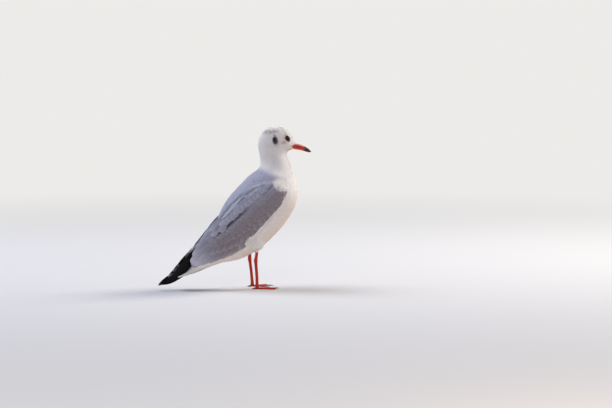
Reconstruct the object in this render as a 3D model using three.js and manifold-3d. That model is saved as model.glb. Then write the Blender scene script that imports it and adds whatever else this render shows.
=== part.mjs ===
// A black-headed gull in winter plumage, standing upright with folded wings, at life size.
//
// Units are millimetres. The bird faces +X, +Z is up and the plane Y = 0 is its plane of symmetry,
// so its right side lies towards -Y. The origin is under the middle of the bird, on the ground.
//
// Every soft part is a loft: a closed cylinder whose rings are carried onto rounded sections. A
// section hangs between a point of the upper line and a point of the lower line of the part, so a
// row of sections gives the side outline, and the half widths give the outline from above.

import * as THREE from 'three';
import { mergeVertices } from 'three/addons/utils/BufferGeometryUtils.js';
import Module from 'manifold-3d';

const wasm = await Module();
wasm.setup();

// ---------------------------------------------------------------- driving dimensions

const GAP = 0.3;                 // clearance between pieces that touch
const WELD = 1e-4;               // vertices nearer than this are one vertex
const LIMIT = 400;               // half the side of a block that is larger than the bird
const BODY_SIDES = 28;           // flats round a section of the body

const EYE = { x: 89.2, y: 12.2, z: 262.0, radius: 5.5 };
const LID = { y: 17.4, radius: 4.7, depth: 2.0 };   // shallow dish that bares the eye

const LEG_SPACING = 19;          // from the plane of symmetry to the middle of a leg
const LEG_LEAN = { right: 0, left: 3 };             // degrees that a leg leans back from its foot
const THIGH = { x: 34.5, y: 16.5, z: 78.5, radii: [13, 9.5, 12] };   // tuft of feathers over the leg
const ANKLE = { x: 34.0, cut: 4.2 };                // the leg meets the foot at this height
const FOOT_JOINT = { radius: 3.0, z: 1.4, stretch: [1.05, 0.95, 1.6] };
const TOE_HEIGHT = 3.0;
const TOE_SINK = 0.4;            // depth below the ground that is cut off to make flat soles
// Pads and waists of a toe from its tip to its root: place along the toe and share of its width.
const TOE_PADS = [
  [1, 0.6], [0.93, 0.9], [0.82, 0.8], [0.7, 1.02], [0.56, 0.84], [0.42, 1.06], [0.3, 0.86], [0, 1.5],
];
// reach is the share of a toe that the web follows, and hollow how far its free edge is drawn in.
const WEB = { thickness: 1.0, reach: 0.93, hollow: 0.86 };
const TOES = [
  { name: 'inner', turn: 24, length: 24, half: 1.5, claw: 5.0 },
  { name: 'middle', turn: -2, length: 33.5, half: 1.7, claw: 5.6 },
  { name: 'outer', turn: -28, length: 30.5, half: 1.5, claw: 4.8 },
];
const HIND_TOE = { turn: 168, length: 6.8, half: 1.2, height: 3.4, claw: 2.6 };

// Sections of the body from the bill's root to the end of the tail. "upper" runs over the crown,
// the back and the top of the tail, "lower" over the chin, the breast and the under-tail.
// "half" is half the width, "square" the roundness (2 is an ellipse) and "egg" shifts the widest
// place towards the back (above 0) or the belly (below 0).
const BODY = [
  { upper: [112.1, 251.6], lower: [101.5, 241.2], half: 4.3 },
  { upper: [105.4, 257.2], lower: [97.2, 240.3], half: 6.8 },
  { upper: [100.7, 267.2], lower: [93.6, 238.0], half: 12.2, egg: -0.10 },
  { upper: [93.5, 276.2], lower: [91.6, 236.0], half: 16.0, egg: -0.08 },
  { upper: [81.8, 283.1], lower: [90.9, 234.2], half: 17.8, egg: -0.04 },
  { upper: [67.4, 283.5], lower: [91.2, 233.0], half: 18.8 },
  { upper: [52.9, 277.0], lower: [91.6, 231.6], half: 19.3 },
  { upper: [44.3, 265.6], lower: [92.4, 229.7], half: 19.5 },
  { upper: [40.5, 252.6], lower: [93.6, 226.7], half: 19.8 },
  { upper: [41.9, 240.3], lower: [95.1, 222.7], half: 20.6 },
  { upper: [44.4, 227.9], lower: [97.3, 217.8], half: 22.2 },
  { upper: [44.9, 216.2], lower: [99.9, 210.7], half: 25.2 },
  { upper: [40.6, 207.6], lower: [103.1, 201.8], half: 30.0 },
  { upper: [28.0, 199.6], lower: [106.3, 189.5], half: 38.0, egg: -0.03 },
  { upper: [13.3, 185.5], lower: [110.3, 165.0], half: 44.5, egg: -0.08 },
  { upper: [-1.2, 171.4], lower: [107.4, 146.4], half: 46.0, egg: -0.10 },
  { upper: [-12.9, 157.9], lower: [99.8, 130.8], half: 44.5, egg: -0.10 },
  { upper: [-23.0, 142.9], lower: [87.2, 111.8], half: 41.0, egg: -0.10 },
  { upper: [-30.6, 127.0], lower: [68.3, 91.0], half: 36.0, egg: -0.08 },
  { upper: [-38.0, 112.0], lower: [45.7, 71.3], half: 30.5, egg: -0.05 },
  { upper: [-44.6, 96.8], lower: [22.3, 57.2], half: 25.0 },
  { upper: [-49.9, 81.4], lower: [-1.2, 48.8], half: 20.5, square: 2.2 },
  { upper: [-58.9, 68.4], lower: [-24.6, 46.2], half: 17.5, square: 2.4 },
  { upper: [-67.5, 53.0], lower: [-48.0, 38.5], half: 16.0, square: 2.5 },
  { upper: [-79.0, 40.6], lower: [-72.5, 31.0], half: 16.0, square: 2.8 },
  { upper: [-92.8, 31.6], lower: [-90.4, 25.8], half: 17.5, square: 3.2 },
  { upper: [-106.8, 25.2], lower: [-105.8, 22.3], half: 19.5, square: 3.6 },
];
// Places of the cuts that part the body, as section numbers of the list above, and the width of a
// cut, which is at least GAP where its two sections lie closest.
const CUT = { nape: 8.4, shoulder: 12.6, rump: 22.6, step: 0.06 };

// The four lengths of the body, from cut to cut.
const LENGTHS = {
  head: { from: 0, to: CUT.nape, steps: 13 },
  neck: { from: CUT.nape + CUT.step, to: CUT.shoulder, steps: 7 },
  trunk: { from: CUT.shoulder + CUT.step, to: CUT.rump, steps: 16 },
  tail: { from: CUT.rump + CUT.step, to: BODY.length - 1, steps: 6 },
};

// Sections of the cloak that the folded wings make over the trunk: the same lines in front, and
// the upper edges of the long inner flight feathers behind.
const CLOAK = [
  { upper: [31.0, 198.8], lower: [106.0, 190.0], half: 39.8 },
  { upper: [13.8, 184.7], lower: [110.0, 165.0], half: 47.6, egg: 0.02 },
  { upper: [-0.9, 170.9], lower: [107.0, 146.4], half: 50.0, egg: 0.02 },
  { upper: [-12.7, 157.4], lower: [99.5, 130.8], half: 50.2, egg: 0.02 },
  { upper: [-22.6, 142.6], lower: [87.0, 111.8], half: 47.5 },
  { upper: [-31.2, 126.8], lower: [68.0, 91.0], half: 43.0 },
  { upper: [-40.2, 113.0], lower: [45.5, 71.3], half: 37.5 },
  { upper: [-49.5, 100.6], lower: [22.0, 56.0], half: 31.5 },
  { upper: [-61.0, 90.0], lower: [-1.5, 46.0], half: 26.0 },
  { upper: [-72.5, 79.0], lower: [-26.0, 38.5], half: 21.0 },
  { upper: [-84.0, 67.0], lower: [-52.0, 33.5], half: 17.2 },
  { upper: [-94.0, 55.0], lower: [-76.0, 30.0], half: 14.0 },
];
// Side outline of the folded arm: wrist, leading edge, tips of the inner flight feathers, and the
// line where the shoulder feathers meet the back.
const WING_OUTLINE = [
  [83.0, 176.5], [80.5, 166.5], [72.5, 154.5], [58.0, 137.5], [38.0, 115.5], [19.0, 94.0],
  [4.5, 73.0], [-14.0, 61.5], [-38.0, 51.5], [-60.8, 44.5], [-76.0, 40.4], [-83.2, 43.2],
  [-83.9, 50.5], [-81.0, 57.5], [-71.8, 71.8], [-57.6, 89.0], [-49.5, 99.5], [-41.5, 110.5],
  [-30.5, 119.5], [-18.5, 136.0], [-4.5, 152.5], [9.5, 168.0], [24.0, 179.5], [45.0, 187.5],
  [66.0, 187.0],
];
// Sections of the long outer flight feathers, from under the inner ones to the wing's tip.
const PRIMARIES = [
  { upper: [-50.5, -4.0, 96.5], lower: [-57.0, -12.5, 58.0], half: 3.4 },
  { upper: [-67.0, -3.6, 82.4], lower: [-71.5, -13.0, 41.0], half: 3.4 },
  { upper: [-83.0, -3.4, 66.2], lower: [-84.5, -13.0, 31.5], half: 3.3 },
  { upper: [-99.0, -3.2, 49.4], lower: [-97.5, -11.5, 25.0], half: 3.0 },
  { upper: [-114.0, -3.0, 33.0], lower: [-110.5, -9.5, 20.2], half: 2.5 },
  { upper: [-126.4, -2.8, 19.9], lower: [-122.2, -7.0, 14.0], half: 1.9 },
  { upper: [-136.6, -2.6, 10.0], lower: [-134.8, -3.8, 7.8], half: 1.0 },
];

// Sections of the whole bill from its tip to the corners of the mouth, inside the head.
const BILL = [
  { upper: [136.3, 237.8], lower: [135.6, 236.5], half: 0.6 },
  { upper: [134.4, 239.9], lower: [132.3, 236.2], half: 1.3 },
  { upper: [130.6, 243.5], lower: [127.0, 237.3], half: 2.1 },
  { upper: [124.4, 247.5], lower: [120.6, 239.2], half: 3.0 },
  { upper: [117.4, 250.5], lower: [113.6, 240.8], half: 3.8 },
  { upper: [110.6, 252.2], lower: [106.6, 241.7], half: 4.7 },
  { upper: [103.4, 251.7], lower: [101.2, 243.5], half: 6.0 },
  { upper: [98.4, 249.7], lower: [98.0, 246.7], half: 6.6 },
];
// Line between the two halves of the bill, from the corner of the mouth to beyond the tip.
const GAPE = [
  [94.0, 248.7], [102.0, 247.2], [109.0, 246.1], [116.0, 244.7], [123.0, 242.6], [129.0, 240.0],
  [133.0, 237.6], [138.0, 234.4],
];

// Shank and foot joint of one leg, from inside the belly down. The two lines are its back and front.
const LEG = [
  { upper: [31.0, 84.0], lower: [38.0, 84.0], half: 3.0 },
  { upper: [31.6, 66.0], lower: [36.8, 66.0], half: 2.3 },
  { upper: [30.2, 56.0], lower: [34.7, 56.0], half: 2.1 },
  { upper: [28.5, 50.5], lower: [34.9, 50.5], half: 2.9 },
  { upper: [29.6, 43.5], lower: [34.5, 43.5], half: 2.3 },
  { upper: [31.1, 26.0], lower: [35.7, 26.0], half: 1.9 },
  { upper: [31.5, 10.0], lower: [36.3, 10.0], half: 2.1 },
  { upper: [31.0, 5.0], lower: [36.8, 5.0], half: 2.5 },
  { upper: [31.0, 2.0], lower: [37.0, 2.0], half: 2.6 },
];

const COLOURS = {
  white: { color: 0xf1efec, roughness: 0.85, metalness: 0 },
  grey: { color: 0xb4b7c2, roughness: 0.8, metalness: 0 },
  black: { color: 0x1b1a1c, roughness: 0.6, metalness: 0 },
  bill: { color: 0xd8361a, roughness: 0.4, metalness: 0 },
  leg: { color: 0xb8321a, roughness: 0.55, metalness: 0 },
  claw: { color: 0x2a2220, roughness: 0.45, metalness: 0 },
  eye: { color: 0x140d0a, roughness: 0.12, metalness: 0 },
};

// ---------------------------------------------------------------- solids and cuts

/** A closed geometry as a solid that can be joined and cut. */
function solid(geometry) {
  const bare = geometry.clone();
  bare.deleteAttribute('normal');
  bare.deleteAttribute('uv');
  const welded = mergeVertices(bare, WELD);
  return new wasm.Manifold(new wasm.Mesh({
    numProp: 3,
    vertProperties: Float32Array.from(welded.getAttribute('position').array),
    triVerts: Uint32Array.from(welded.getIndex().array),
  }));
}

/** The geometry of a solid. */
function geometryOf(body) {
  const { vertProperties, triVerts } = body.getMesh();
  const geometry = new THREE.BufferGeometry();
  geometry.setAttribute('position', new THREE.BufferAttribute(Float32Array.from(vertProperties), 3));
  geometry.setIndex(Array.from(triVerts));
  return geometry;
}

/** A copy of a geometry on the other side of the plane of symmetry. */
function mirrored(geometry) {
  const copy = geometry.clone();
  copy.scale(1, -1, 1);
  const order = Array.from(copy.getIndex().array);
  for (let i = 0; i < order.length; i += 3) {
    [order[i], order[i + 1]] = [order[i + 1], order[i]];
  }
  copy.setIndex(order);
  return copy;
}

/** A block that fills the space from its low corner to its high corner. */
function block(low, high) {
  const size = high.map((value, axis) => value - low[axis]);
  const middle = high.map((value, axis) => (value + low[axis]) / 2);
  return solid(new THREE.BoxGeometry(...size).translate(...middle));
}

const RIGHT_HALF = block([-LIMIT, -LIMIT, -LIMIT], [LIMIT, -GAP / 2, LIMIT]);
const ABOVE_GROUND = block([-LIMIT, -LIMIT, 0], [LIMIT, LIMIT, LIMIT]);

// ---------------------------------------------------------------- lofts

/** A smooth curve through one field of every section, with flat fields laid in the plane Y = 0. */
function curveOf(sections, field) {
  const points = sections.map((section) => {
    const point = section[field];
    return point.length === 3 ? new THREE.Vector3(...point) : new THREE.Vector3(point[0], 0, point[1]);
  });
  return new THREE.CatmullRomCurve3(points, false, 'centripetal');
}

/** The half width, roundness and egg shape at a place along the sections. */
function traitsOf(sections) {
  const points = sections.map(({ half, square = 2, egg = 0 }) => new THREE.Vector3(half, square, egg));
  return new THREE.CatmullRomCurve3(points, false, 'catmullrom', 0.5);
}

/** cos or sin of a ring's angle, pushed outwards as the section gets squarer. */
function rounded(value, square) {
  return Math.sign(value) * Math.abs(value) ** (2 / square);
}

/**
 * A closed solid through a row of sections.
 * options: sides of a ring, steps along the row, from and to as section numbers, and grow, by
 * which every section is larger all round.
 */
function loft(sections, { sides, steps, from = 0, to = sections.length - 1, grow = 0 }) {
  const last = sections.length - 1;
  const upper = curveOf(sections, 'upper');
  const lower = curveOf(sections, 'lower');
  const traits = traitsOf(sections);
  const geometry = new THREE.CylinderGeometry(1, 1, 1, sides, steps);
  const position = geometry.getAttribute('position');
  const top = new THREE.Vector3();
  const bottom = new THREE.Vector3();
  const trait = new THREE.Vector3();
  for (let i = 0; i < position.count; i += 1) {
    const place = (from + (to - from) * (0.5 - position.getY(i))) / last;
    const reach = Math.min(1, Math.hypot(position.getX(i), position.getZ(i)));
    const angle = Math.atan2(position.getX(i), position.getZ(i));
    upper.getPoint(place, top);
    lower.getPoint(place, bottom);
    traits.getPoint(place, trait);
    const depth = top.clone().sub(bottom).multiplyScalar(0.5);
    const middle = bottom.clone().add(depth);
    depth.setLength(depth.length() + grow);
    const across = new THREE.Vector3(0, 1, 0).projectOnPlane(depth.clone().normalize()).normalize();
    const width = (trait.x + grow) * (1 + trait.z * Math.cos(angle));
    const point = middle
      .addScaledVector(depth, reach * rounded(Math.cos(angle), trait.y))
      .addScaledVector(across, -reach * width * rounded(Math.sin(angle), trait.y));
    position.setXYZ(i, point.x, point.y, point.z);
  }
  return solid(geometry);
}

// ---------------------------------------------------------------- body

/** One length of the body between two cuts. */
function bodyLength(name) {
  return loft(BODY, { sides: BODY_SIDES, ...LENGTHS[name] });
}

/** The tuft of feathers over the top of a leg, on both sides. */
function thighs(grow = 0) {
  const radii = THIGH.radii.map((radius) => radius + grow);
  const tuft = new THREE.SphereGeometry(1, 16, 10).scale(...radii).translate(THIGH.x, -THIGH.y, THIGH.z);
  const right = solid(tuft);
  return right.add(solid(mirrored(tuft)));
}

/** The trunk with the tufts over its legs. */
function trunkSolid() {
  return bodyLength('trunk').add(thighs());
}

/** The space that the wings and legs leave free for the trunk and the tail. */
function roomForBody() {
  const trunk = loft(BODY, { sides: BODY_SIDES, ...LENGTHS.trunk, grow: GAP });
  const tail = loft(BODY, { sides: BODY_SIDES, ...LENGTHS.tail, from: CUT.rump, grow: GAP });
  return trunk.add(tail).add(thighs(GAP));
}

/** The eyeball of the right side. */
function eyeball(grow = 0) {
  const globe = new THREE.SphereGeometry(EYE.radius + grow, 12, 8);
  return solid(globe.translate(EYE.x, -EYE.y, EYE.z));
}

/** The shallow dish round the eye, in which the lids lie. */
function lidDish() {
  const dish = new THREE.SphereGeometry(LID.radius, 14, 6);
  return solid(dish.scale(1, LID.depth / LID.radius, 1).translate(EYE.x, -LID.y, EYE.z));
}

/** The head, with room for both eyes and for the root of the bill. */
function headSolid() {
  const cuts = [eyeball(GAP), lidDish()].map(geometryOf);
  let body = bodyLength('head');
  for (const cut of cuts) {
    body = body.subtract(solid(cut)).subtract(solid(mirrored(cut)));
  }
  return body.subtract(billSolid(GAP));
}

/** The whole bill, larger all round by grow. */
function billSolid(grow = 0) {
  return loft(BILL, { sides: 12, steps: 12, grow });
}

/** The space below the line between the halves of the bill, raised by lift. */
function belowGape(lift) {
  const points = GAPE.map(([x, z]) => new THREE.Vector2(x, z + lift));
  const region = new THREE.Shape();
  region.moveTo(points[0].x, points[0].y);
  region.splineThru(points.slice(1));
  region.lineTo(points.at(-1).x, 0);
  region.lineTo(points[0].x, 0);
  region.closePath();
  const depth = LIMIT;
  const slab = new THREE.ExtrudeGeometry(region, { depth, curveSegments: 2, bevelEnabled: false });
  return solid(slab.translate(0, 0, -depth / 2).rotateX(Math.PI / 2));
}

// ---------------------------------------------------------------- wings

/** The block that has the side outline of the folded arm, larger all round by grow. */
function wingBlock(grow = 0) {
  const points = WING_OUTLINE.map(([x, z]) => new THREE.Vector2(x, z));
  const outline = new THREE.Shape();
  outline.moveTo(points[0].x, points[0].y);
  outline.splineThru([...points.slice(1), points[0]]);
  const geometry = new THREE.ExtrudeGeometry(outline, {
    depth: LIMIT,
    curveSegments: 2,
    bevelEnabled: grow > 0,
    bevelThickness: grow,
    bevelSize: grow,
    bevelSegments: 1,
  });
  return solid(geometry.rotateX(Math.PI / 2));
}

/** The folded arm with its coverts, shoulder feathers and inner flight feathers, right side. */
function wingSolid(bodyRoom, grow = 0) {
  const cloak = loft(CLOAK, { sides: 26, steps: 13, grow });
  const arm = cloak.intersect(wingBlock(grow)).intersect(RIGHT_HALF);
  return bodyRoom ? arm.subtract(bodyRoom) : arm;
}

/** The long outer flight feathers of the right wing. */
function primariesSolid(bodyRoom) {
  const blade = loft(PRIMARIES, { sides: 10, steps: 9 });
  return blade.intersect(RIGHT_HALF).subtract(wingSolid(null, GAP)).subtract(bodyRoom);
}

// ---------------------------------------------------------------- legs

/** A leg from the belly to the foot. side is -1 on the right and 1 on the left. */
function legSolid(bodyRoom, side, lean) {
  const shank = geometryOf(loft(LEG, { sides: 10, steps: 16 }));
  shank.translate(-ANKLE.x, side * LEG_SPACING, -ANKLE.cut);
  shank.rotateY(THREE.MathUtils.degToRad(-lean));
  shank.translate(ANKLE.x, 0, ANKLE.cut);
  const aboveFoot = block([-LIMIT, -LIMIT, ANKLE.cut], [LIMIT, LIMIT, LIMIT]);
  return solid(shank).intersect(aboveFoot).subtract(bodyRoom);
}

/** Carries a solid from a toe's own frame, where it points along +X, to its place on the right foot. */
function placedToe(body, turn) {
  const geometry = geometryOf(body);
  geometry.rotateZ(THREE.MathUtils.degToRad(turn));
  return solid(geometry.translate(ANKLE.x, -LEG_SPACING, 0));
}

/** A toe along +X with three pads under its joints, from the root of its claw to the ankle. */
function toeSolid({ length, half }) {
  const sections = TOE_PADS.map(([place, width], i) => {
    const rootwards = i / (TOE_PADS.length - 1);
    const height = TOE_HEIGHT * (0.62 + 0.38 * rootwards) * Math.min(1, width + 0.1);
    return {
      upper: [length * place, 0, height],
      lower: [length * place, 0, -TOE_SINK],
      half: half * width,
      square: 2.3,
    };
  });
  return loft(sections, { sides: 7, steps: 7 });
}

/** The curved claw at the end of a toe along +X. */
function clawSolid({ length, half, claw }) {
  const start = length + GAP;
  const bend = start + claw * 0.6;
  const tip = start + claw;
  const sections = [
    { upper: [tip, 0.55], lower: [tip - 0.1, 0.3], half: 0.15 },
    { upper: [bend, 1.4], lower: [bend - 0.3, 0.25], half: half * 0.3 },
    { upper: [start, 1.8], lower: [start, 0.2], half: half * 0.5 },
  ];
  return loft(sections, { sides: 6, steps: 4 });
}

/** The web between two neighbouring toes, with its free edge drawn in between them. */
function webSolid(first, second) {
  const tip = ({ turn, length }) => {
    const angle = THREE.MathUtils.degToRad(turn);
    return new THREE.Vector2(Math.cos(angle), Math.sin(angle)).multiplyScalar(length * WEB.reach);
  };
  const from = tip(first);
  const to = tip(second);
  const middle = from.clone().add(to).multiplyScalar(0.5 * WEB.hollow);
  const shape = new THREE.Shape();
  shape.moveTo(0, 0);
  shape.lineTo(from.x, from.y);
  shape.quadraticCurveTo(middle.x, middle.y, to.x, to.y);
  shape.closePath();
  const depth = WEB.thickness;
  const plate = new THREE.ExtrudeGeometry(shape, { depth, curveSegments: 8, bevelEnabled: false });
  return solid(plate.translate(ANKLE.x, -LEG_SPACING, 0));
}

/** The hind toe along +X: short, and just touching the ground. */
function hindToeSolid({ length, half, height }) {
  const sections = [
    { upper: [length, height * 0.55], lower: [length, -TOE_SINK], half: half * 0.8 },
    { upper: [length * 0.6, height * 0.8], lower: [length * 0.6, -TOE_SINK], half },
    { upper: [0, height * 1.1], lower: [0, 0.6], half: half * 1.3 },
  ];
  return loft(sections, { sides: 8, steps: 4 });
}

/** The right foot: three webbed toes with flat soles, and the hind toe. */
function footSolid() {
  let foot = placedToe(hindToeSolid(HIND_TOE), HIND_TOE.turn);
  const joint = new THREE.SphereGeometry(FOOT_JOINT.radius, 10, 7).scale(...FOOT_JOINT.stretch);
  foot = foot.add(solid(joint.translate(ANKLE.x, -LEG_SPACING, FOOT_JOINT.z)));
  for (const toe of TOES) {
    foot = foot.add(placedToe(toeSolid(toe), toe.turn));
  }
  const [inner, middle, outer] = TOES;
  foot = foot.add(webSolid(outer, middle)).add(webSolid(middle, inner));
  const belowAnkle = block([-LIMIT, -LIMIT, -LIMIT], [LIMIT, LIMIT, ANKLE.cut - GAP]);
  return foot.intersect(ABOVE_GROUND).intersect(belowAnkle);
}

// ---------------------------------------------------------------- assembly

const gull = new THREE.Group();

/** Adds one named sub-part to the bird. */
function addPart(name, geometry, finish) {
  const bare = geometry.clone();
  bare.computeVertexNormals();
  const mesh = new THREE.Mesh(bare, new THREE.MeshStandardMaterial(finish));
  mesh.name = name;
  gull.add(mesh);
}

/** Adds a sub-part of the right side and its mirror image. */
function addPair(name, body, finish) {
  const geometry = geometryOf(body);
  addPart(name.replace('SIDE', 'right'), geometry, finish);
  addPart(name.replace('SIDE', 'left'), mirrored(geometry), finish);
}

const bodyRoom = roomForBody();

addPart('head', geometryOf(headSolid()), COLOURS.white);
addPart('neck', geometryOf(bodyLength('neck')), COLOURS.white);
addPart('trunk', geometryOf(trunkSolid()), COLOURS.white);
addPart('tail', geometryOf(bodyLength('tail')), COLOURS.white);
addPart('bill_upper', geometryOf(billSolid().subtract(belowGape(GAP / 2))), COLOURS.bill);
addPart('bill_lower', geometryOf(billSolid().intersect(belowGape(-GAP / 2))), COLOURS.bill);
addPair('eye_SIDE', eyeball(), COLOURS.eye);
addPair('wing_SIDE', wingSolid(bodyRoom), COLOURS.grey);
addPair('primaries_SIDE', primariesSolid(bodyRoom), COLOURS.black);
addPart('leg_right', geometryOf(legSolid(bodyRoom, -1, LEG_LEAN.right)), COLOURS.leg);
addPart('leg_left', geometryOf(legSolid(bodyRoom, 1, LEG_LEAN.left)), COLOURS.leg);
addPair('foot_SIDE', footSolid(), COLOURS.leg);
for (const toe of TOES) {
  addPair(`claw_SIDE_${toe.name}`, placedToe(clawSolid(toe), toe.turn), COLOURS.claw);
}
addPair('claw_SIDE_hind', placedToe(clawSolid(HIND_TOE), HIND_TOE.turn), COLOURS.claw);

// The origin goes under the middle of the bird's own box, at the height of its soles.
const box = new THREE.Box3().setFromObject(gull);
const centre = box.getCenter(new THREE.Vector3());
gull.position.set(-centre.x, -centre.y, -box.min.z);

export default gull;
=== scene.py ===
"""Looks of a life-size black-headed gull in winter plumage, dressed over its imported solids.

The solids give the outline of the bird out to the tips of its feathers. One closed skin lies inside
them by the depth of the coat. Every feather is a thin closed body that is rooted near the skin and
lies along the coat, with its tip at the outline. Eyes, bill, legs, feet and claws are pieces of
their own.

All places are in metres in the frame of the solids: +X is the way the bird faces, +Z is up, and
the bird's right side lies towards -Y.
"""

import logging
import math
from dataclasses import dataclass, field
from enum import Enum
from functools import partial, reduce
from typing import Optional, Sequence

import bmesh
import bpy
import numpy as np
from bmesh.types import BMesh, BMVert
from bpy.types import Material, Mesh, NodeSocket as Socket, Object
from mathutils import Matrix, Vector
from mathutils.bvhtree import BVHTree
from mathutils.kdtree import KDTree


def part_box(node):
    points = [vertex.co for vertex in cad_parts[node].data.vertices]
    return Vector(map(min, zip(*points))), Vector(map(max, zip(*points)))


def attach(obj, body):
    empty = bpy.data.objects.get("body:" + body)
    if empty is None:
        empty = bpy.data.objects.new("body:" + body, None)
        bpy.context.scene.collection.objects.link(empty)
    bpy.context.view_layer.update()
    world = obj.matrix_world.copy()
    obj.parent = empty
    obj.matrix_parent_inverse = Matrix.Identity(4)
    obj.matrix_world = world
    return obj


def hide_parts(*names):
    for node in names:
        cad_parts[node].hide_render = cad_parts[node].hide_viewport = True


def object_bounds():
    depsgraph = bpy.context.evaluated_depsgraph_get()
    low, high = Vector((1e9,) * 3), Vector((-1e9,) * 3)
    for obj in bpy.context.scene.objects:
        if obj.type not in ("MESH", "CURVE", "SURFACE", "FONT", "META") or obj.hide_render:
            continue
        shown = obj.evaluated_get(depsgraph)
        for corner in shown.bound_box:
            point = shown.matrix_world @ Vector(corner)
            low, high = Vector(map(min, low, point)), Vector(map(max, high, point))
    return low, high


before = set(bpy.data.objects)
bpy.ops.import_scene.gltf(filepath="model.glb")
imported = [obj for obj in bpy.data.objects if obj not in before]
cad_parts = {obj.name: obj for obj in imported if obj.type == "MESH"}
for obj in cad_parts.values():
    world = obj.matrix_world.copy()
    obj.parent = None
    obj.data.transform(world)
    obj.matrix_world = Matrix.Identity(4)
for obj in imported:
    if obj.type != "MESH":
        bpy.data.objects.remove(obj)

logging.basicConfig(level=logging.INFO, format="%(message)s")
LOG = logging.getLogger("gull")

MM = 0.001
SEED = 20
BODY = "root"
MOUTH_SLOPE = -0.17  # fall of the line of the mouth, for each metre forwards
UP = np.array([0.0, 0.0, 1.0])
CAD_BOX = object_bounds()
PATCH = 0.003  # side of one feather's patch on the bake map
FLESH = ("head", "neck", "trunk", "tail", "wing_right", "wing_left")
EYES = ("eye_right", "eye_left")
BILL = ("bill_upper", "bill_lower")
NOSTRIL = (0.30, 0.78)  # place on the upper half's box, as shares of its length and height

Array = np.ndarray
Colour = str | Array | Socket
Amount = float | Array


class Side(Enum):
    """The two sides of the bird, valued by the sign of Y."""

    RIGHT = -1
    LEFT = 1

    @property
    def word(self) -> str:
        """The side's name in the names of nodes and pieces."""
        return self.name.lower()


# ---- small helpers

def linear(code: str) -> Array:
    """Turns an sRGB hex colour such as "#f4f2ee" into linear red, green and blue."""
    srgb = np.array([int(code[i:i + 2], 16) for i in (1, 3, 5)]) / 255
    return np.where(srgb <= 0.04045, srgb / 12.92, ((srgb + 0.055) / 1.055) ** 2.4)


def ramp(low: float, high: float, values: Array) -> Array:
    """Rises smoothly from 0 at low to 1 at high, or falls where high is the smaller."""
    share = np.clip((values - low) / (high - low), 0, 1)
    return share * share * (3 - 2 * share)


def unit(vectors: Array) -> Array:
    """Vectors along the last axis, each made one long."""
    return vectors / np.maximum(np.linalg.norm(vectors, axis=-1, keepdims=True), 1e-12)


def flattened(vectors: Array, normals: Array) -> Array:
    """Directions laid into the planes that the normals stand on."""
    return unit(vectors - normals * (vectors * normals).sum(-1, keepdims=True))


@dataclass(frozen=True)
class Chart:
    """Places on the bird as shares of the box of its solids.

    along runs from 0 at the tip of the wings to 1 at the tip of the bill, and up from 0 at the
    soles to 1 at the crown.
    """

    low: Vector
    high: Vector

    def at(self, along: float, up: float, across: float = 0.0) -> Array:
        """The place at two shares, at a distance across from the plane of symmetry."""
        size = self.high - self.low
        return np.array([self.low.x + along * size.x, across, self.low.z + up * size.z])


CHART = Chart(*CAD_BOX)


# ---- surfaces

@dataclass
class Hits:
    """Places on a surface, and how to read values of its vertices there."""

    places: Array
    normals: Array
    corners: Array
    weights: Array

    def read(self, values: Array) -> Array:
        """Blends the values of the three vertices round each place."""
        picked = values[self.corners]
        weights = self.weights if picked.ndim == 2 else self.weights[..., None]
        return (picked * weights).sum(1)


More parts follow.
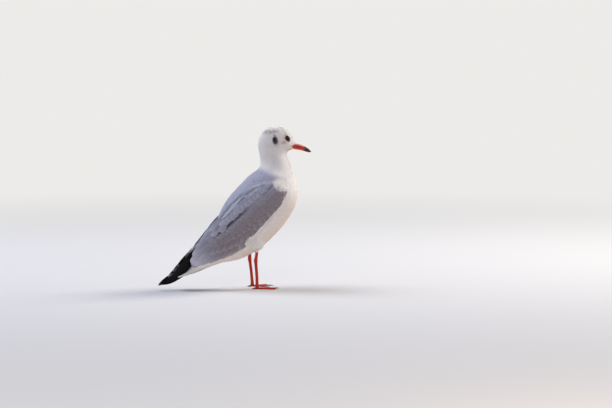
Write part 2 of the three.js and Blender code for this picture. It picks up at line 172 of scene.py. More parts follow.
class Surface:
    """A closed surface of triangles that points can be snapped to or cast at."""

    TRIES = 9  # places tried for each place that there is room for, when scattering

    def __init__(self, points: Array, triangles: Array) -> None:
        """Takes a row for each vertex, and a row of three vertex numbers for each triangle."""
        self.points = points
        self.triangles = triangles
        self.normals = self.smooth_normals()
        self.tree = BVHTree.FromPolygons(points.tolist(), triangles.tolist(), all_triangles=True)

    def smooth_normals(self) -> Array:
        """The normal of each vertex, weighted by the area of its triangles."""
        a, b, c = (self.points[self.triangles[:, i]] for i in range(3))
        faces = np.cross(b - a, c - a)
        total = np.zeros_like(self.points)
        for i in range(3):
            np.add.at(total, self.triangles[:, i], faces)
        return unit(total)

    def weighted(self, places: Array, corners: Array, weights: Array) -> Hits:
        """Describes places from the weights of the corners round them."""
        normals = unit((self.normals[corners] * weights[..., None]).sum(1))
        return Hits(places, normals, corners, weights)

    def hits(self, places: Array, faces: Array) -> Hits:
        """Describes places that lie on known triangles."""
        corners = self.triangles[faces]
        a, b, c = (self.points[corners[:, i]] for i in range(3))
        ab, ac, ap = b - a, c - a, places - a
        d00, d01, d11 = (ab * ab).sum(1), (ab * ac).sum(1), (ac * ac).sum(1)
        d20, d21 = (ap * ab).sum(1), (ap * ac).sum(1)
        whole = np.maximum(d00 * d11 - d01 * d01, 1e-20)
        v = np.clip((d11 * d20 - d01 * d21) / whole, 0, 1)
        w = np.clip((d00 * d21 - d01 * d20) / whole, 0, 1 - v)
        return self.weighted(places, corners, np.stack([1 - v - w, v, w], axis=1))

    def snap(self, places: Array) -> Hits:
        """The nearest places on the surface."""
        found = [self.tree.find_nearest(place) for place in places.tolist()]
        near = np.array([hit[0] for hit in found])
        return self.hits(near, np.array([hit[2] for hit in found]))

    def met(self, places: Array, way: Sequence[float]) -> Hits:
        """Looks one way through each place for the surface.

        Args:
            places: Places to look through.
            way: The direction of sight.

        Returns:
            The places met first, or the given place at the nearest depth where nothing is met.
        """
        look = Vector(way).normalized()
        found, faces = [], []
        for place in places.tolist():
            through = Vector(place)
            hit, _, face, _ = self.tree.ray_cast(through - look, look)
            if hit is None:
                near, _, face, _ = self.tree.find_nearest(through)
                hit = through + look * (near - through).dot(look)
            found.append(hit)
            faces.append(face)
        return self.hits(np.array(found), np.array(faces))

    def scatter(self, rng: np.random.Generator, gap: Array, wanted: Array) -> Hits:
        """Spreads places evenly over part of the surface.

        Args:
            rng: The source of chance.
            gap: The least distance between places, for each vertex.
            wanted: Which vertices belong to the part.

        Returns:
            The places, none nearer to another than the gap there.
        """
        triangles = self.triangles[wanted[self.triangles].all(1)]
        a, b, c = (self.points[triangles[:, i]] for i in range(3))
        area = np.linalg.norm(np.cross(b - a, c - a), axis=1) / 2
        weight = area / gap[triangles].mean(1) ** 2
        count = int(weight.sum() * self.TRIES)
        pick = rng.choice(len(triangles), count, p=weight / weight.sum())
        r, s = rng.random((2, count))
        r, s = np.where(r + s > 1, 1 - r, r), np.where(r + s > 1, 1 - s, s)
        weights = np.stack([1 - r - s, r, s], axis=1)
        corners = triangles[pick]
        places = (self.points[corners] * weights[..., None]).sum(1)
        reach = (gap[corners] * weights).sum(1)
        tree = KDTree(count)
        for i, place in enumerate(places.tolist()):
            tree.insert(place, i)
        tree.balance()
        free = np.ones(count, bool)
        kept = []
        for i, place in enumerate(places.tolist()):
            if free[i]:
                kept.append(i)
                for _, other, _ in tree.find_range(place, reach[i]):
                    free[other] = False
        return self.weighted(places[kept], corners[kept], weights[kept])


def leg_end(side: Side, top: bool) -> Vector:
    """The middle of the upper or the lower end of a leg's solid."""
    name = "leg_" + side.word
    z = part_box(name)[top].z
    ring = [vert.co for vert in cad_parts[name].data.vertices if abs(vert.co.z - z) < 0.5 * MM]
    return sum(ring, Vector()) / len(ring)


def joined_copy(names: Sequence[str]) -> Mesh:
    """One mesh of copies of solids, with the doubled vertices of each merged."""
    whole = bmesh.new()
    for name in names:
        whole.from_mesh(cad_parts[name].data)
    bmesh.ops.remove_doubles(whole, verts=whole.verts, dist=0.01 * MM)
    mesh = bpy.data.meshes.new("copy")
    whole.to_mesh(mesh)
    whole.free()
    return mesh


def linked(name: str, data: bpy.types.ID) -> Object:
    """A new object in the scene."""
    made = bpy.data.objects.new(name, data)
    bpy.context.scene.collection.objects.link(made)
    return made


def arrays_of(mesh: Mesh) -> tuple[Array, Array]:
    """The vertices and triangles of a mesh."""
    points = np.empty(len(mesh.vertices) * 3)
    mesh.vertices.foreach_get("co", points)
    mesh.calc_loop_triangles()
    triangles = np.empty(len(mesh.loop_triangles) * 3, np.int32)
    mesh.loop_triangles.foreach_get("vertices", triangles)
    return points.reshape(-1, 3), triangles.reshape(-1, 3)


def solid(*names: str) -> Surface:
    """The surface of the solids of some nodes."""
    return Surface(*arrays_of(joined_copy(names)))


def largest_shell(points: Array, triangles: Array) -> tuple[Array, Array]:
    """Drops every closed shell of a surface but the largest."""
    label = np.arange(len(points))
    while True:
        lowest = label[triangles].min(1)
        before = label.copy()
        for i in range(3):
            np.minimum.at(label, triangles[:, i], lowest)
        label = label[label]
        if (label == before).all():
            break
    names, counts = np.unique(label, return_counts=True)
    keep = label == names[counts.argmax()]
    renumbered = np.cumsum(keep) - 1
    return points[keep], renumbered[triangles[keep[triangles[:, 0]]]]


def evened(points: Array, triangles: Array, rounds: int,
           steps: tuple = (0.5, -0.52)) -> Array:
    """Smooths a surface by steps in and out, so that it keeps its volume, or values over it."""
    edges = np.concatenate([triangles[:, [0, 1]], triangles[:, [1, 2]], triangles[:, [2, 0]]])
    count = np.bincount(edges[:, 0], minlength=len(points))[:, None]
    for _ in range(rounds):
        for step in steps:
            total = np.zeros_like(points)
            np.add.at(total, edges[:, 0], points[edges[:, 1]])
            points = points + step * (total / count - points)
    return points


def remeshed(mesh: Mesh, voxel: float) -> tuple[Array, Array]:
    """Fuses the shells of a mesh into one closed surface of triangles."""
    body = linked("fused", mesh)
    remesh = body.modifiers.new("fuse", "REMESH")
    remesh.mode = "VOXEL"
    remesh.voxel_size = voxel
    graph = bpy.context.evaluated_depsgraph_get()
    fused = bpy.data.meshes.new_from_object(body.evaluated_get(graph))
    points, triangles = arrays_of(fused)
    bpy.data.objects.remove(body)
    bpy.data.meshes.remove(fused)
    return largest_shell(points, triangles)


# ---- lie of the coat

@dataclass(frozen=True)
class Lie:
    """The lie of the feathers round one place: which way they point, and their length."""

    along: float
    up: float
    run: float  # how far they point forwards
    rise: float  # how far they point upwards
    length: float  # of one feather, in millimetres


LIES = tuple(Lie(*row) for row in (
    (0.885, 0.922, -0.55, 0.85, 3.0),  # forehead
    (0.757, 1.000, -1.00, 0.05, 5.0),  # crown
    (0.661, 0.936, -0.35, -0.95, 6.0),  # hind crown
    (0.650, 0.845, 0.05, -1.00, 8.0),  # nape
    (0.793, 0.880, -0.85, -0.50, 4.5),  # cheek
    (0.727, 0.901, -0.70, -0.70, 5.5),  # ear
    (0.859, 0.894, -1.00, 0.10, 2.6),  # lores
    (0.855, 0.841, -0.75, -0.65, 3.6),  # chin
    (0.837, 0.795, 0.05, -1.00, 6.5),  # throat
    (0.742, 0.792, -0.05, -1.00, 8.5),  # side of the neck
    (0.654, 0.732, -0.55, -0.85, 11.0),  # back of the neck's base
    (0.874, 0.704, 0.15, -1.00, 11.0),  # front of the neck's base
    (0.573, 0.676, -0.75, -0.65, 15.0),  # top of the mantle
    (0.463, 0.563, -0.62, -0.78, 17.0),  # mantle
    (0.383, 0.436, -0.40, -0.92, 19.0),  # end of the mantle
    (0.298, 0.324, -0.60, -0.80, 20.0),  # back
    (0.236, 0.246, -0.65, -0.76, 20.0),  # rump
    (0.903, 0.581, -0.12, -1.00, 13.0),  # breast
    (0.859, 0.458, -0.50, -0.87, 14.0),  # lower breast
    (0.775, 0.341, -0.72, -0.70, 15.0),  # belly
    (0.647, 0.239, -0.88, -0.47, 14.0),  # belly between the legs
    (0.500, 0.169, -0.97, -0.25, 15.0),  # vent
    (0.317, 0.134, -0.93, -0.36, 17.0),  # under the tail
    (0.152, 0.099, -0.90, -0.43, 18.0),  # tail
    (0.742, 0.669, -0.45, -0.90, 11.0),  # shoulder
    (0.800, 0.605, -0.35, -0.94, 9.0),  # wrist
    (0.727, 0.510, -0.62, -0.78, 10.0),  # front of the folded wing
    (0.573, 0.458, -0.74, -0.67, 14.0),  # middle of the folded wing
    (0.500, 0.528, -0.70, -0.72, 15.0),  # scapulars
    (0.573, 0.352, -0.74, -0.67, 14.0),  # lower edge of the folded wing
    (0.353, 0.264, -0.79, -0.61, 20.0),  # rear of the folded wing
    (0.207, 0.176, -0.79, -0.61, 20.0),  # end of the folded wing
    (0.518, 0.246, -0.90, -0.43, 15.0),  # lower flank
))


class LieField:
    """Direction and length of the feathers everywhere, blended between the named places."""

    SOFT = 9 * MM  # distance over which two neighbouring places blend

    def __init__(self, lies: Sequence[Lie], chart: Chart) -> None:
        """Sets the named places on the bird."""
        self.centres = np.array([chart.at(lie.along, lie.up) for lie in lies])[:, [0, 2]]
        self.towards = unit(np.array([[lie.run, 0, lie.rise] for lie in lies]))
        self.lengths = np.array([lie.length * MM for lie in lies])

    def shares(self, places: Array) -> Array:
        """How much each named place counts at each place."""
        apart = places[:, None, [0, 2]] - self.centres[None]
        weights = 1 / ((apart ** 2).sum(-1) + self.SOFT ** 2) ** 2
        return weights / weights.sum(1, keepdims=True)

    def directions(self, places: Array, normals: Array) -> Array:
        """The way that feathers point along the surface."""
        return flattened(self.shares(places) @ self.towards, normals)

    def sizes(self, places: Array) -> Array:
        """The length of one feather, in metres."""
        return self.shares(places) @ self.lengths


# ---- plan of the wing

class Planform:
    """The flat plan of a folded wing: millimetres along it from the wrist, and up across it."""

    SCAPULAR_LINE = ((0, 19), (29, 17.5), (65, 19), (101, 16), (130, 12.5), (150, 13))
    RIDGE_LINE = ((0, 24), (27, 28.5), (48, 35), (70, 36.5), (91, 34.5), (111, 29.5), (133, 20),
                  (143, 15))
    MEDIAN_LINE = ((0, -30), (22, -10), (26, -7), (60, -10), (95, -12), (130, -9), (156, -1))
    LOWER_EDGE = ((-6, 2), (0, 0), (8, -6), (22, -11), (44, -15.5), (73, -20.6), (101, -26),
                  (125.5, -33.6), (147, -31.4), (172, -24.6), (194.5, -16), (209, -10), (213, -3.4))

    def __init__(self, chart: Chart) -> None:
        """Lays the plan from the wrist to the end of the tertials."""
        self.wrist = chart.at(0.804, 0.621)
        self.along = unit(chart.at(0.192, 0.165) - self.wrist)
        self.across = np.array([self.along[2], 0, -self.along[0]])

    def world(self, plan: Array) -> Array:
        """Places in the plane of symmetry for places on the plan."""
        return self.wrist + MM * (plan[..., :1] * self.along + plan[..., 1:] * self.across)

    def plan(self, places: Array) -> tuple[Array, Array]:
        """How far along and across the wing places lie."""
        off = (places - self.wrist) / MM
        return off @ self.along, off @ self.across


def height_of(line: Sequence[tuple], along: Array) -> Array:
    """How far up a line of the plan runs at places along it."""
    return np.interp(along, *np.array(line).T)


def on_line(line: Sequence[tuple], count: int) -> Array:
    """Places at even steps along a line of points."""
    points = np.array(line, float)
    reached = np.concatenate([[0], np.cumsum(np.linalg.norm(np.diff(points, axis=0), axis=1))])
    wanted = np.linspace(0, reached[-1], count)
    return np.stack([np.interp(wanted, reached, points[:, i]) for i in range(2)], axis=1)


# ---- markings

class Markings:
    """The colours of the plumage, some painted shade and light among them, the same for the skin and for
    every feather.
    """

    WHITE = linear("#f2f0ed")
    GREY = linear("#acafc2")
    # painted shade with warm light bounced from below, for the low part of a folded wing
    LOW_SHADE_GREY = linear("#918789")
    SPOT = linear("#170906")
    SMUDGE = linear("#8b8a92")
    TAN = linear("#d3ab88")
    # painted warm light bounced from below onto the underside
    BOUNCE_CREAM = linear("#eec69c")
    FRINGE = linear("#dcdee4")
    BLACK = linear("#0a0a0b")
    # tan stains on the face: place from the eye, half width and half height, in millimetres
    TINTS = ((-6.0, -7.0, 3.2, 2.4), (-9.5, -7.5, 1.6, 1.4), (-5.2, 1.5, 1.6, 3.4),
             (6.0, -20.5, 4.5, 2.0))

    def __init__(self, chart: Chart) -> None:
        """Sets the named places of the markings on the bird."""
        self.eye = np.array(sum(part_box("eye_right"), Vector()) / 2)
        self.plan = Planform(chart)
        self.ear = chart.at(0.7455, 0.911)
        self.dash = chart.at(0.742, 0.942)
        self.crown = chart.at(0.722, 0.966)
        self.rim = chart.at(0, 0.988)[2]
        self.nape = (chart.at(0.632, 0.752), chart.at(0.800, 0.660))
        self.shoulder = chart.at(0.765, 0.640)

    def off_eye(self, forwards: float, up: float) -> Array:
        """The place some millimetres forwards of the right eye and above it."""
        return self.eye + np.array([forwards, 0, up]) * MM

    @staticmethod
    def spot(places: Array, centre: Array, turn: float, half: tuple, soft: float) -> Array:
        """An oval mark seen from the side, as a share from 0 outside to 1 inside.

        Args:
            places: Where the share is wanted.
            centre: Middle of the mark.
            turn: Degrees that its long way leans back from upright.
            half: Half its width and half its height, in millimetres.
            soft: Width of its edge, as a share of the mark.

        Returns:
            The share at each place.
        """
        x, z = (places[:, 0] - centre[0]) / MM, (places[:, 2] - centre[2]) / MM
        c, s = math.cos(math.radians(turn)), math.sin(math.radians(turn))
        far = np.hypot((c * x + s * z) / half[0], (c * z - s * x) / half[1])
        return 1 - ramp(1 - soft, 1 + soft, far)

    @staticmethod
    def mottle(places: Array, size: float) -> Array:
        """Soft blotches of a given size, from 0 to 1."""
        x, y, z = (places / size).T
        waves = np.sin(x * 2.1 + 1.3 * np.sin(z * 1.7)) + np.sin(z * 2.6 + 1.1 * np.sin(y * 2.3 + x))
        return np.clip(0.5 + 0.25 * (waves + np.sin(y * 3.1 + z * 1.9 + x * 0.7)), 0, 1)

    def greyness(self, places: Array, wing: Array, dorsal: Array) -> Array:
        """How far a place belongs to the grey back and wings."""
        first, second = self.nape
        edge = unit(second - first)
        behind = (places[:, 0] - first[0]) * edge[2] - (places[:, 2] - first[2]) * edge[0]
        along, up = self.plan.plan(places)
        upper = np.maximum(ramp(-0.05, 0.12, dorsal), ramp(10, 18, up) * ramp(4, 16, along))
        mantle = ramp(-8 * MM, 7 * MM, behind) * upper * ramp(-4, 4, up)
        mantle *= ramp(self.nape[0][2] + 9 * MM, self.nape[0][2] - 3 * MM, places[:, 2])
        return np.maximum(mantle, wing)

    def shade(self, places: Array) -> Array:
        """Painted shade under the edge of the shoulder feathers, over the darker feather bases there."""
        along, up = self.plan.plan(places)
        under = height_of(Planform.SCAPULAR_LINE, along) - up
        return ramp(5.2, 2.4, under) * ramp(58, 100, along) * ramp(156, 149, along)

    def grey(self, places: Array) -> Array:
        """The grey of back and wings: bluish above, and darker and browner towards a wing's lower edge
        with painted shade and painted warm light bounced from below.

        Along the ridge of the shoulder feathers a highlight is painted on their edge, and shade is painted
        on the mantle feathers in the groove beside it.
        """
        along, up = self.plan.plan(places)
        below = height_of(Planform.SCAPULAR_LINE, along) - up
        # painted shade and warm bounced light: darker and browner towards the wing's lower edge
        low = 0.9 * ramp(-8, 18, below) * ramp(222, 150, along)
        colour = self.GREY + low[:, None] * (self.LOW_SHADE_GREY - self.GREY)
        colour = colour + 0.35 * ramp(182, 208, along)[:, None] * (self.FRINGE - colour)
        over = up - height_of(Planform.RIDGE_LINE, along)
        length = ramp(20, 60, along) * ramp(152, 140, along)
        # painted shade in the groove just above the ridge, and a painted highlight on the ridge's edge below
        # it
        dark = ramp(4.2, 2.4, over) * ramp(-0.6, 0.6, over) * length
        pale = ramp(-3.8, -1.8, over) * ramp(0.5, -0.5, over) * length
        colour = colour * (1 - 0.38 * dark)[:, None]
        return colour + 0.22 * pale[:, None] * (self.FRINGE - colour)

    def paint(self, places: Array, wing: Array, dorsal: Array) -> Array:
        """The colour of the plumage.

        Args:
            places: Where the colour is wanted.
            wing: How far each place belongs to a folded wing.
            dorsal: How far the surface there faces the back, from -1 to 1.

        Returns:
            Linear colours, one row for each place.
        """
        colour = np.repeat(self.WHITE[None], len(places), 0)

        def lay(share: Array, over: Array) -> None:
            """Lays a colour over the colours so far."""
            nonlocal colour
            colour = colour + np.clip(share, 0, 1)[:, None] * (over - colour)

        blotch = self.mottle(places, 2.4 * MM)
        far = np.hypot(places[:, 0] - self.eye[0], places[:, 2] - self.eye[2])
        behind_eye = ramp(4 * MM, -9 * MM, places[:, 0] - self.eye[0])
        lay(0.34 * blotch * behind_eye * ramp(15 * MM, 5 * MM, far), self.TAN)
        for run, rise, wide, tall in self.TINTS:
            lay(0.7 * self.spot(places, self.off_eye(run, rise), 0, (wide, tall), 0.7), self.TAN)
        lay(0.45 * self.spot(places, self.off_eye(-3.6, 6.4), -40, (1.5, 3.2), 0.6), self.SMUDGE)
        crown = self.spot(places, self.crown, -80, (4.2, 15), 0.5)
        crown *= ramp(self.rim, self.rim - 4 * MM, places[:, 2])
        lay(0.7 * crown * blotch, self.SMUDGE)
        second = self.spot(places, self.off_eye(-6, 14), 35, (3.5, 12), 0.5)
        lay(0.3 * second * self.mottle(places, 1.7 * MM), self.SMUDGE)
        fleck = ramp(0.72, 0.9, self.mottle(places, 0.9 * MM))
        lay(0.36 * fleck * np.maximum(crown, second), self.SPOT)
        lay(self.spot(places, self.ear, 8, (4.7, 7.0), 0.3), self.SPOT)
        below_ear = self.ear + np.array([2.5, 0, -5]) * MM
        lay(0.3 * self.spot(places, below_ear, 8, (4.5, 6), 0.8), self.SMUDGE)
        lay(0.65 * self.spot(places, self.dash, 60, (1.1, 2.6), 0.5), self.SPOT)
        lay(0.85 * self.spot(places, self.off_eye(3.6, -3.2), -35, (2.1, 3.6), 0.4), self.SPOT)
        # painted warm bounced light on the surfaces that face down, off the wings
        lay(0.45 * ramp(-0.1, -1.0, dorsal) * (1 - wing), self.BOUNCE_CREAM)
        lay(self.greyness(places, wing, dorsal), self.grey(places))
        patch = self.spot(places, self.shoulder, 70, (11, 16), 0.3)
        lay(patch * (1 - ramp(0.3, 0.8, dorsal)), self.WHITE)
        return colour


# ---- feathers

@dataclass(frozen=True)
class Vane:
    """The cut of one kind of feather: a thin closed body of rings from its quill to its tip."""

    rings: int  # rings between the quill's end and the tip
    across: int  # points over the upper face of a ring
    wide: float  # place of the greatest width, as a share of the length
    quill: float  # width at the root, as a share of the greatest width
    round: float  # 1 for a pointed tip, 2 for a round one, 3 for a blunt one
    ridge: float  # height of the shaft over the edges, as a share of the width
    ragged: float = 0.0  # how far the barbs part at the tip, as a share of the length

    def outline(self, t: Array) -> Array:
        """Half the width along the feather, as a share of its greatest."""
        rise = self.quill + (1 - self.quill) * np.sin(np.clip(t / self.wide, 0, 1) * math.pi / 2)
        fall = np.clip((t - self.wide) / (1 - self.wide), 0, 1)
        return rise * (1 - fall ** self.round) ** (1 / max(self.round, 1.0))

    def pattern(self) -> tuple[Array, Array, Array]:
        """Lays out the vertices of one feather.

        Returns:
            The place along, the place across and the height of each vertex: 0 to 1 along, -1 to 1
            across, and shares of the ridge for the height. The quill's end is first, the tip last.
        """
        t = np.sin(np.linspace(0.02, 0.94, self.rings) * math.pi / 2)
        w = np.linspace(-1, 1, self.across)
        along = np.repeat(t, self.across)
        over = np.tile(w, self.rings)
        teeth = np.tile(np.where(np.arange(self.across) % 2 == 0, -1.0, 1.0), self.rings)
        along = along + self.ragged * teeth * along ** 6
        width = self.outline(np.repeat(t, self.across))
        height = (1 - over ** 2) * width
        along = np.concatenate([[-0.05], along, [1.0]])
        across = np.concatenate([[0.0], over * width, [0.0]])
        return along, across, np.concatenate([[0.0], height, [0.1]])

    def faces(self) -> tuple[Array, Array]:
        """The polygons of one feather.

        Returns:
            The vertex numbers of all polygons in a row, and the number of corners of each.
        """
        m, loops, totals = self.across, [], []
        last = 1 + self.rings * m
        for j in range(m):
            k = (j + 1) % m
            loops += [0, 1 + j, 1 + k]
            totals.append(3)
            for i in range(self.rings - 1):
                a, b = 1 + i * m, 1 + (i + 1) * m
                loops += [a + j, b + j, b + k, a + k]
                totals.append(4)
            loops += [last - m + j, last, last - m + k]
            totals.append(3)
        return np.array(loops), np.array(totals)


TUFT = Vane(rings=3, across=3, wide=0.45, quill=0.35, round=1.35, ridge=0.07)
SOFT_FEATHER = Vane(rings=4, across=5, wide=0.55, quill=0.3, round=1.8, ridge=0.04, ragged=0.04)
COVERT = Vane(rings=7, across=7, wide=0.6, quill=0.35, round=2.2, ridge=0.07)
FLIGHT = Vane(rings=14, across=9, wide=0.72, quill=0.45, round=2.4, ridge=0.05)


@dataclass
class Flock:
    """Many feathers of one cut, as arrays that become one joined mesh."""

    vane: Vane
    points: Array  # feathers, vertices, 3
    colours: Array  # feathers, vertices, 3
    roots: Array  # feathers, 3
    sizes: Array  # feathers, 2: length and width
    tones: Array  # feathers

    @property
    def triangles(self) -> int:
        """The number of triangles that the flock makes."""
        return 2 * self.vane.across * self.vane.rings * len(self.points)

    def deepen(self, amount: float) -> None:
        """Darkens each feather from its tip towards its root."""
        along = self.vane.pattern()[0]
        self.colours *= (1 - amount * ramp(1.0, 0.6, along))[None, :, None]

    def only(self, keep: Array) -> "Flock":
        """The flock without the feathers that aren't kept."""
        rows = (self.points, self.colours, self.roots, self.sizes, self.tones)
        return Flock(self.vane, *(row[keep] for row in rows))


class Unwrap:
    """An unwrap of the skin: distance along its spine against the angle round it."""

    SPINE = ((0.90, 0.87), (0.78, 0.91), (0.72, 0.82), (0.735, 0.70), (0.66, 0.58), (0.52, 0.40),
             (0.36, 0.26), (0.22, 0.16), (0.0, 0.03))

    def __init__(self, chart: Chart) -> None:
        """Lays the spine through the bird."""
        self.line = np.array([chart.at(along, up) for along, up in self.SPINE])[:, [0, 2]]
        self.steps = np.diff(self.line, axis=0)
        self.lengths = np.linalg.norm(self.steps, axis=1)
        self.starts = np.concatenate([[0], np.cumsum(self.lengths)[:-1]])

    def places(self, points: Array) -> Array:
        """The place of each point on the unwrap, each way from 0 to 1."""
        flat = points[:, None, [0, 2]] - self.line[None, :-1]
        share = np.clip((flat * self.steps).sum(-1) / self.lengths ** 2, 0, 1)
        off = flat - share[..., None] * self.steps
        near = (off ** 2).sum(-1).argmin(1)
        rows = np.arange(len(points))
        reached = self.starts[near] + share[rows, near] * self.lengths[near]
        step = self.steps[near] / self.lengths[near, None]
        side = off[rows, near, 0] * -step[:, 1] + off[rows, near, 1] * step[:, 0]
        angle = np.arctan2(points[:, 1], -side)
        return np.stack([reached / self.lengths.sum(), angle / (2 * math.pi) + 0.5], axis=1)


@dataclass
class Coat:
    """Lays feathers over the outline of the bird and joins them into pieces."""

    outline: Surface  # the surface through the tips of the feathers
    lie: LieField
    markings: Markings
    unwrap: Unwrap
    wing: Array  # how far each vertex of the outline belongs to a folded wing
    dorsal: Array  # how far each vertex of the outline faces the back

    def __post_init__(self) -> None:
        """Starts the source of chance."""
        self.restart()

    def restart(self) -> None:
        """Starts the source of chance again, so that both wings are alike."""
        self.rng = np.random.default_rng(SEED)

    @staticmethod
    def shape(vane: Vane, stations: Array, uprights: Array, widths: Array,
              level: Array, sink: Amount, drop: Amount, roll: float = 0.0) -> Array:
        """Bends feathers of one cut along lines of stations.

        Args:
            vane: Their cut.
            stations: Places from root to tip, for each feather.
            uprights: The normal at each station.
            widths: The width of each feather.
            level: Height of the tip over the stations, for each feather.
            sink: Depth of the root under the tip's level.
            drop: How far the edges hang.
            roll: Height of one edge over the middle.

        Returns:
            The vertices of each feather.
        """
        along, across, height = vane.pattern()
        powers = np.arange(stations.shape[1])
        inverse = np.linalg.inv(np.linspace(0, 1, len(powers))[:, None] ** powers)
        basis = (along[:, None] ** powers) @ inverse
        slope = (powers * along[:, None] ** np.maximum(powers - 1, 0)) @ inverse
        line = np.einsum("vk,nkc->nvc", basis, stations)
        over = unit(np.einsum("vk,nkc->nvc", basis, uprights))
        beside = unit(np.cross(over, np.einsum("vk,nkc->nvc", slope, stations)))
        widths, level, sink, drop = (np.reshape(rows, (-1, 1)) for rows in (widths, level, sink, drop))
        low = level - sink * (1 - np.clip(along, 0, 1)) ** 1.3
        bulge = vane.ridge * widths * (height - 0.5) - drop * across ** 2
        reach = across * widths / 2
        return line + beside * reach[..., None] + over * (low + bulge + roll * across)[..., None]

    def painted(self, vane: Vane, points: Array, tips: Hits, roots: Array,
                lengths: Array, widths: Array, fringe: float = 0.0, soft: float = 0.5,
                winged: bool = False) -> Flock:
        """Colours feathers by the markings.

        Args:
            vane: Their cut.
            points: Their vertices.
            tips: Where their tips lie.
            roots: Where their roots lie.
            lengths: The length of each.
            widths: The width of each.
            fringe: Strength of a paler fringe.
            soft: 0 to give each feather the one colour at its tip, 1 to blend along it.
            winged: Whether they all belong to a wing.

        Returns:
            The feathers.
        """
        count = points.shape[1]
        places = tips.places[:, None] + soft * (points - tips.places[:, None])
        wing, dorsal = (np.repeat(tips.read(values), count) for values in (self.wing, self.dorsal))
        wing = np.ones_like(wing) if winged else wing
        colours = self.markings.paint(places.reshape(-1, 3), wing, dorsal).reshape(points.shape)
        along, across, _ = vane.pattern()
        share = fringe * np.clip(np.abs(across) ** 5 * along + np.clip(along, 0, 1) ** 12, 0, 1)
        colours = colours + share[None, :, None] * (Markings.FRINGE - colours)
        sizes = np.stack([lengths, widths], axis=1)
        return Flock(vane, points, colours, roots, sizes, self.rng.random(len(points)))

    def strung(self, vane: Vane, surface: Surface, lines: Array, facing: Array,
               lengths: Array, widths: Array, level: Array, sink: float, drop: float,
               roll: float = 0.0, upright: float = 1.0, fringe: float = 0.0,
               winged: bool = False) -> Flock:
        """Lays long feathers over a surface along straight lines.

        Args:
            vane, widths, level, sink, drop, roll: As in shape.
            lengths, fringe, winged: As in painted.
            surface: The surface that they lie on.
            lines: Places from root to tip, beside the surface, for each feather.
            facing: The way that the surface faces there.
            upright: How far the feathers face that way rather than the surface's own.

        Returns:
            The feathers.
        """
        hits = surface.met(lines.reshape(-1, 3), -facing)
        stations = hits.places.reshape(lines.shape)
        uprights = unit(hits.normals.reshape(lines.shape) + upright * facing)
        points = self.shape(vane, stations, uprights, widths, level, sink, drop, roll)
        ends = self.outline.snap(stations[:, -1])
        return self.painted(vane, points, ends, stations[:, 0], lengths, widths, fringe, winged=winged)

    def lay(self, roots: Hits, vane: Vane, lengths: Array, widths: Array, sink: float,
            stray: float = 0.0, level: float = -0.15 * MM, soft: float = 0.5) -> Flock:
        """Lays feathers along the lie of the coat from their roots.

        Args:
            roots: Where the feathers start, on the outline.
            vane: Their cut.
            lengths: The length of each.
            widths: The width of each.
            sink: Depth of a root under the tip, as a share of the length.
            stray: Degrees that a feather may turn off the lie.
            level: Height of the tips over the outline.
            soft: How far their colour blends along them.

        Returns:
            The feathers.
        """
        count = len(lengths)
        way = self.lie.directions(roots.places, roots.normals)
        turn = np.radians(self.rng.normal(0, 1, count) * stray)[:, None]
        way = unit(way * np.cos(turn) + np.cross(roots.normals, way) * np.sin(turn))
        middle = self.outline.snap(roots.places + way * lengths[:, None] / 2)
        bend = self.lie.directions(middle.places, middle.normals)
        on = unit(flattened(way, middle.normals) + 0.6 * bend)
        end = self.outline.snap(middle.places + on * lengths[:, None] / 2)
        side = np.cross(middle.normals, on)
        drop = np.zeros(count)
        for sign in (-1, 1):
            edge = self.outline.snap(middle.places + sign * side * widths[:, None] / 2)
            fall = ((middle.places - edge.places) * middle.normals).sum(1)
            drop += np.clip(fall, -0.1 * widths, 0.4 * widths) / 2
        stations = np.stack([roots.places, middle.places, end.places], axis=1)
        uprights = np.stack([roots.normals, middle.normals, end.normals], axis=1)
        height = level + self.rng.normal(0, 0.05 * MM, count)
        points = self.shape(vane, stations, uprights, widths, height, sink * lengths, drop)
        return self.painted(vane, points, end, roots.places, lengths, widths, soft=soft)

    def piece(self, name: str, flocks: Sequence[Flock], slot: str,
              finish: Material) -> Object:
        """Joins feathers into one piece of the bird.

        Args:
            name: The piece's name.
            flocks: The feathers.
            slot: Not used.
            finish: The material.

        Returns:
            The piece.
        """
        start, parts = 0, []
        for flock in flocks:
            along, across, _ = flock.vane.pattern()
            count, size = flock.points.shape[:2]
            detail = np.empty(flock.points.shape)
            detail[..., 0] = across * flock.sizes[:, 1:2] / 2
            detail[..., 1] = along * flock.sizes[:, 0:1]
            detail[..., 2] = flock.tones[:, None]
            spots = np.stack([along - 0.5, across / 2], axis=1) * PATCH
            spread = self.unwrap.places(flock.roots) * (1 - 2 * PATCH) + PATCH
            corners, totals = flock.vane.faces()
            loops = corners[:, None] + start + size * np.arange(count)[:, None, None]
            parts.append((flock.points, flock.colours, detail, spread[:, None] + spots, loops,
                          np.tile(totals[:, None], (count, 1))))
            start += count * size
        points, colours, details, uvs, loops, totals = (
            np.concatenate([part.reshape(-1, part.shape[-1]) for part in kind]) for kind in zip(*parts))
        mesh = mesh_of(name, points, loops[:, 0], totals[:, 0])
        fill(mesh.uv_layers.new(name="OFBake").uv, "vector", uvs[loops[:, 0]])
        give_colours(mesh, colours)
        fill(mesh.attributes.new("vane", "FLOAT_VECTOR", "POINT").data, "vector", details)
        LOG.info("%s: %d feathers, %d triangles", name, sum(len(f.points) for f in flocks),
                 sum(f.triangles for f in flocks))
        return finished(name, mesh, finish)


def fill(rows: bpy.types.bpy_prop_collection, key: str, values: Array, kind: type = np.float32) -> None:
    """Writes one value, or one vector, into each row."""
    rows.foreach_set(key, values.astype(kind).ravel())


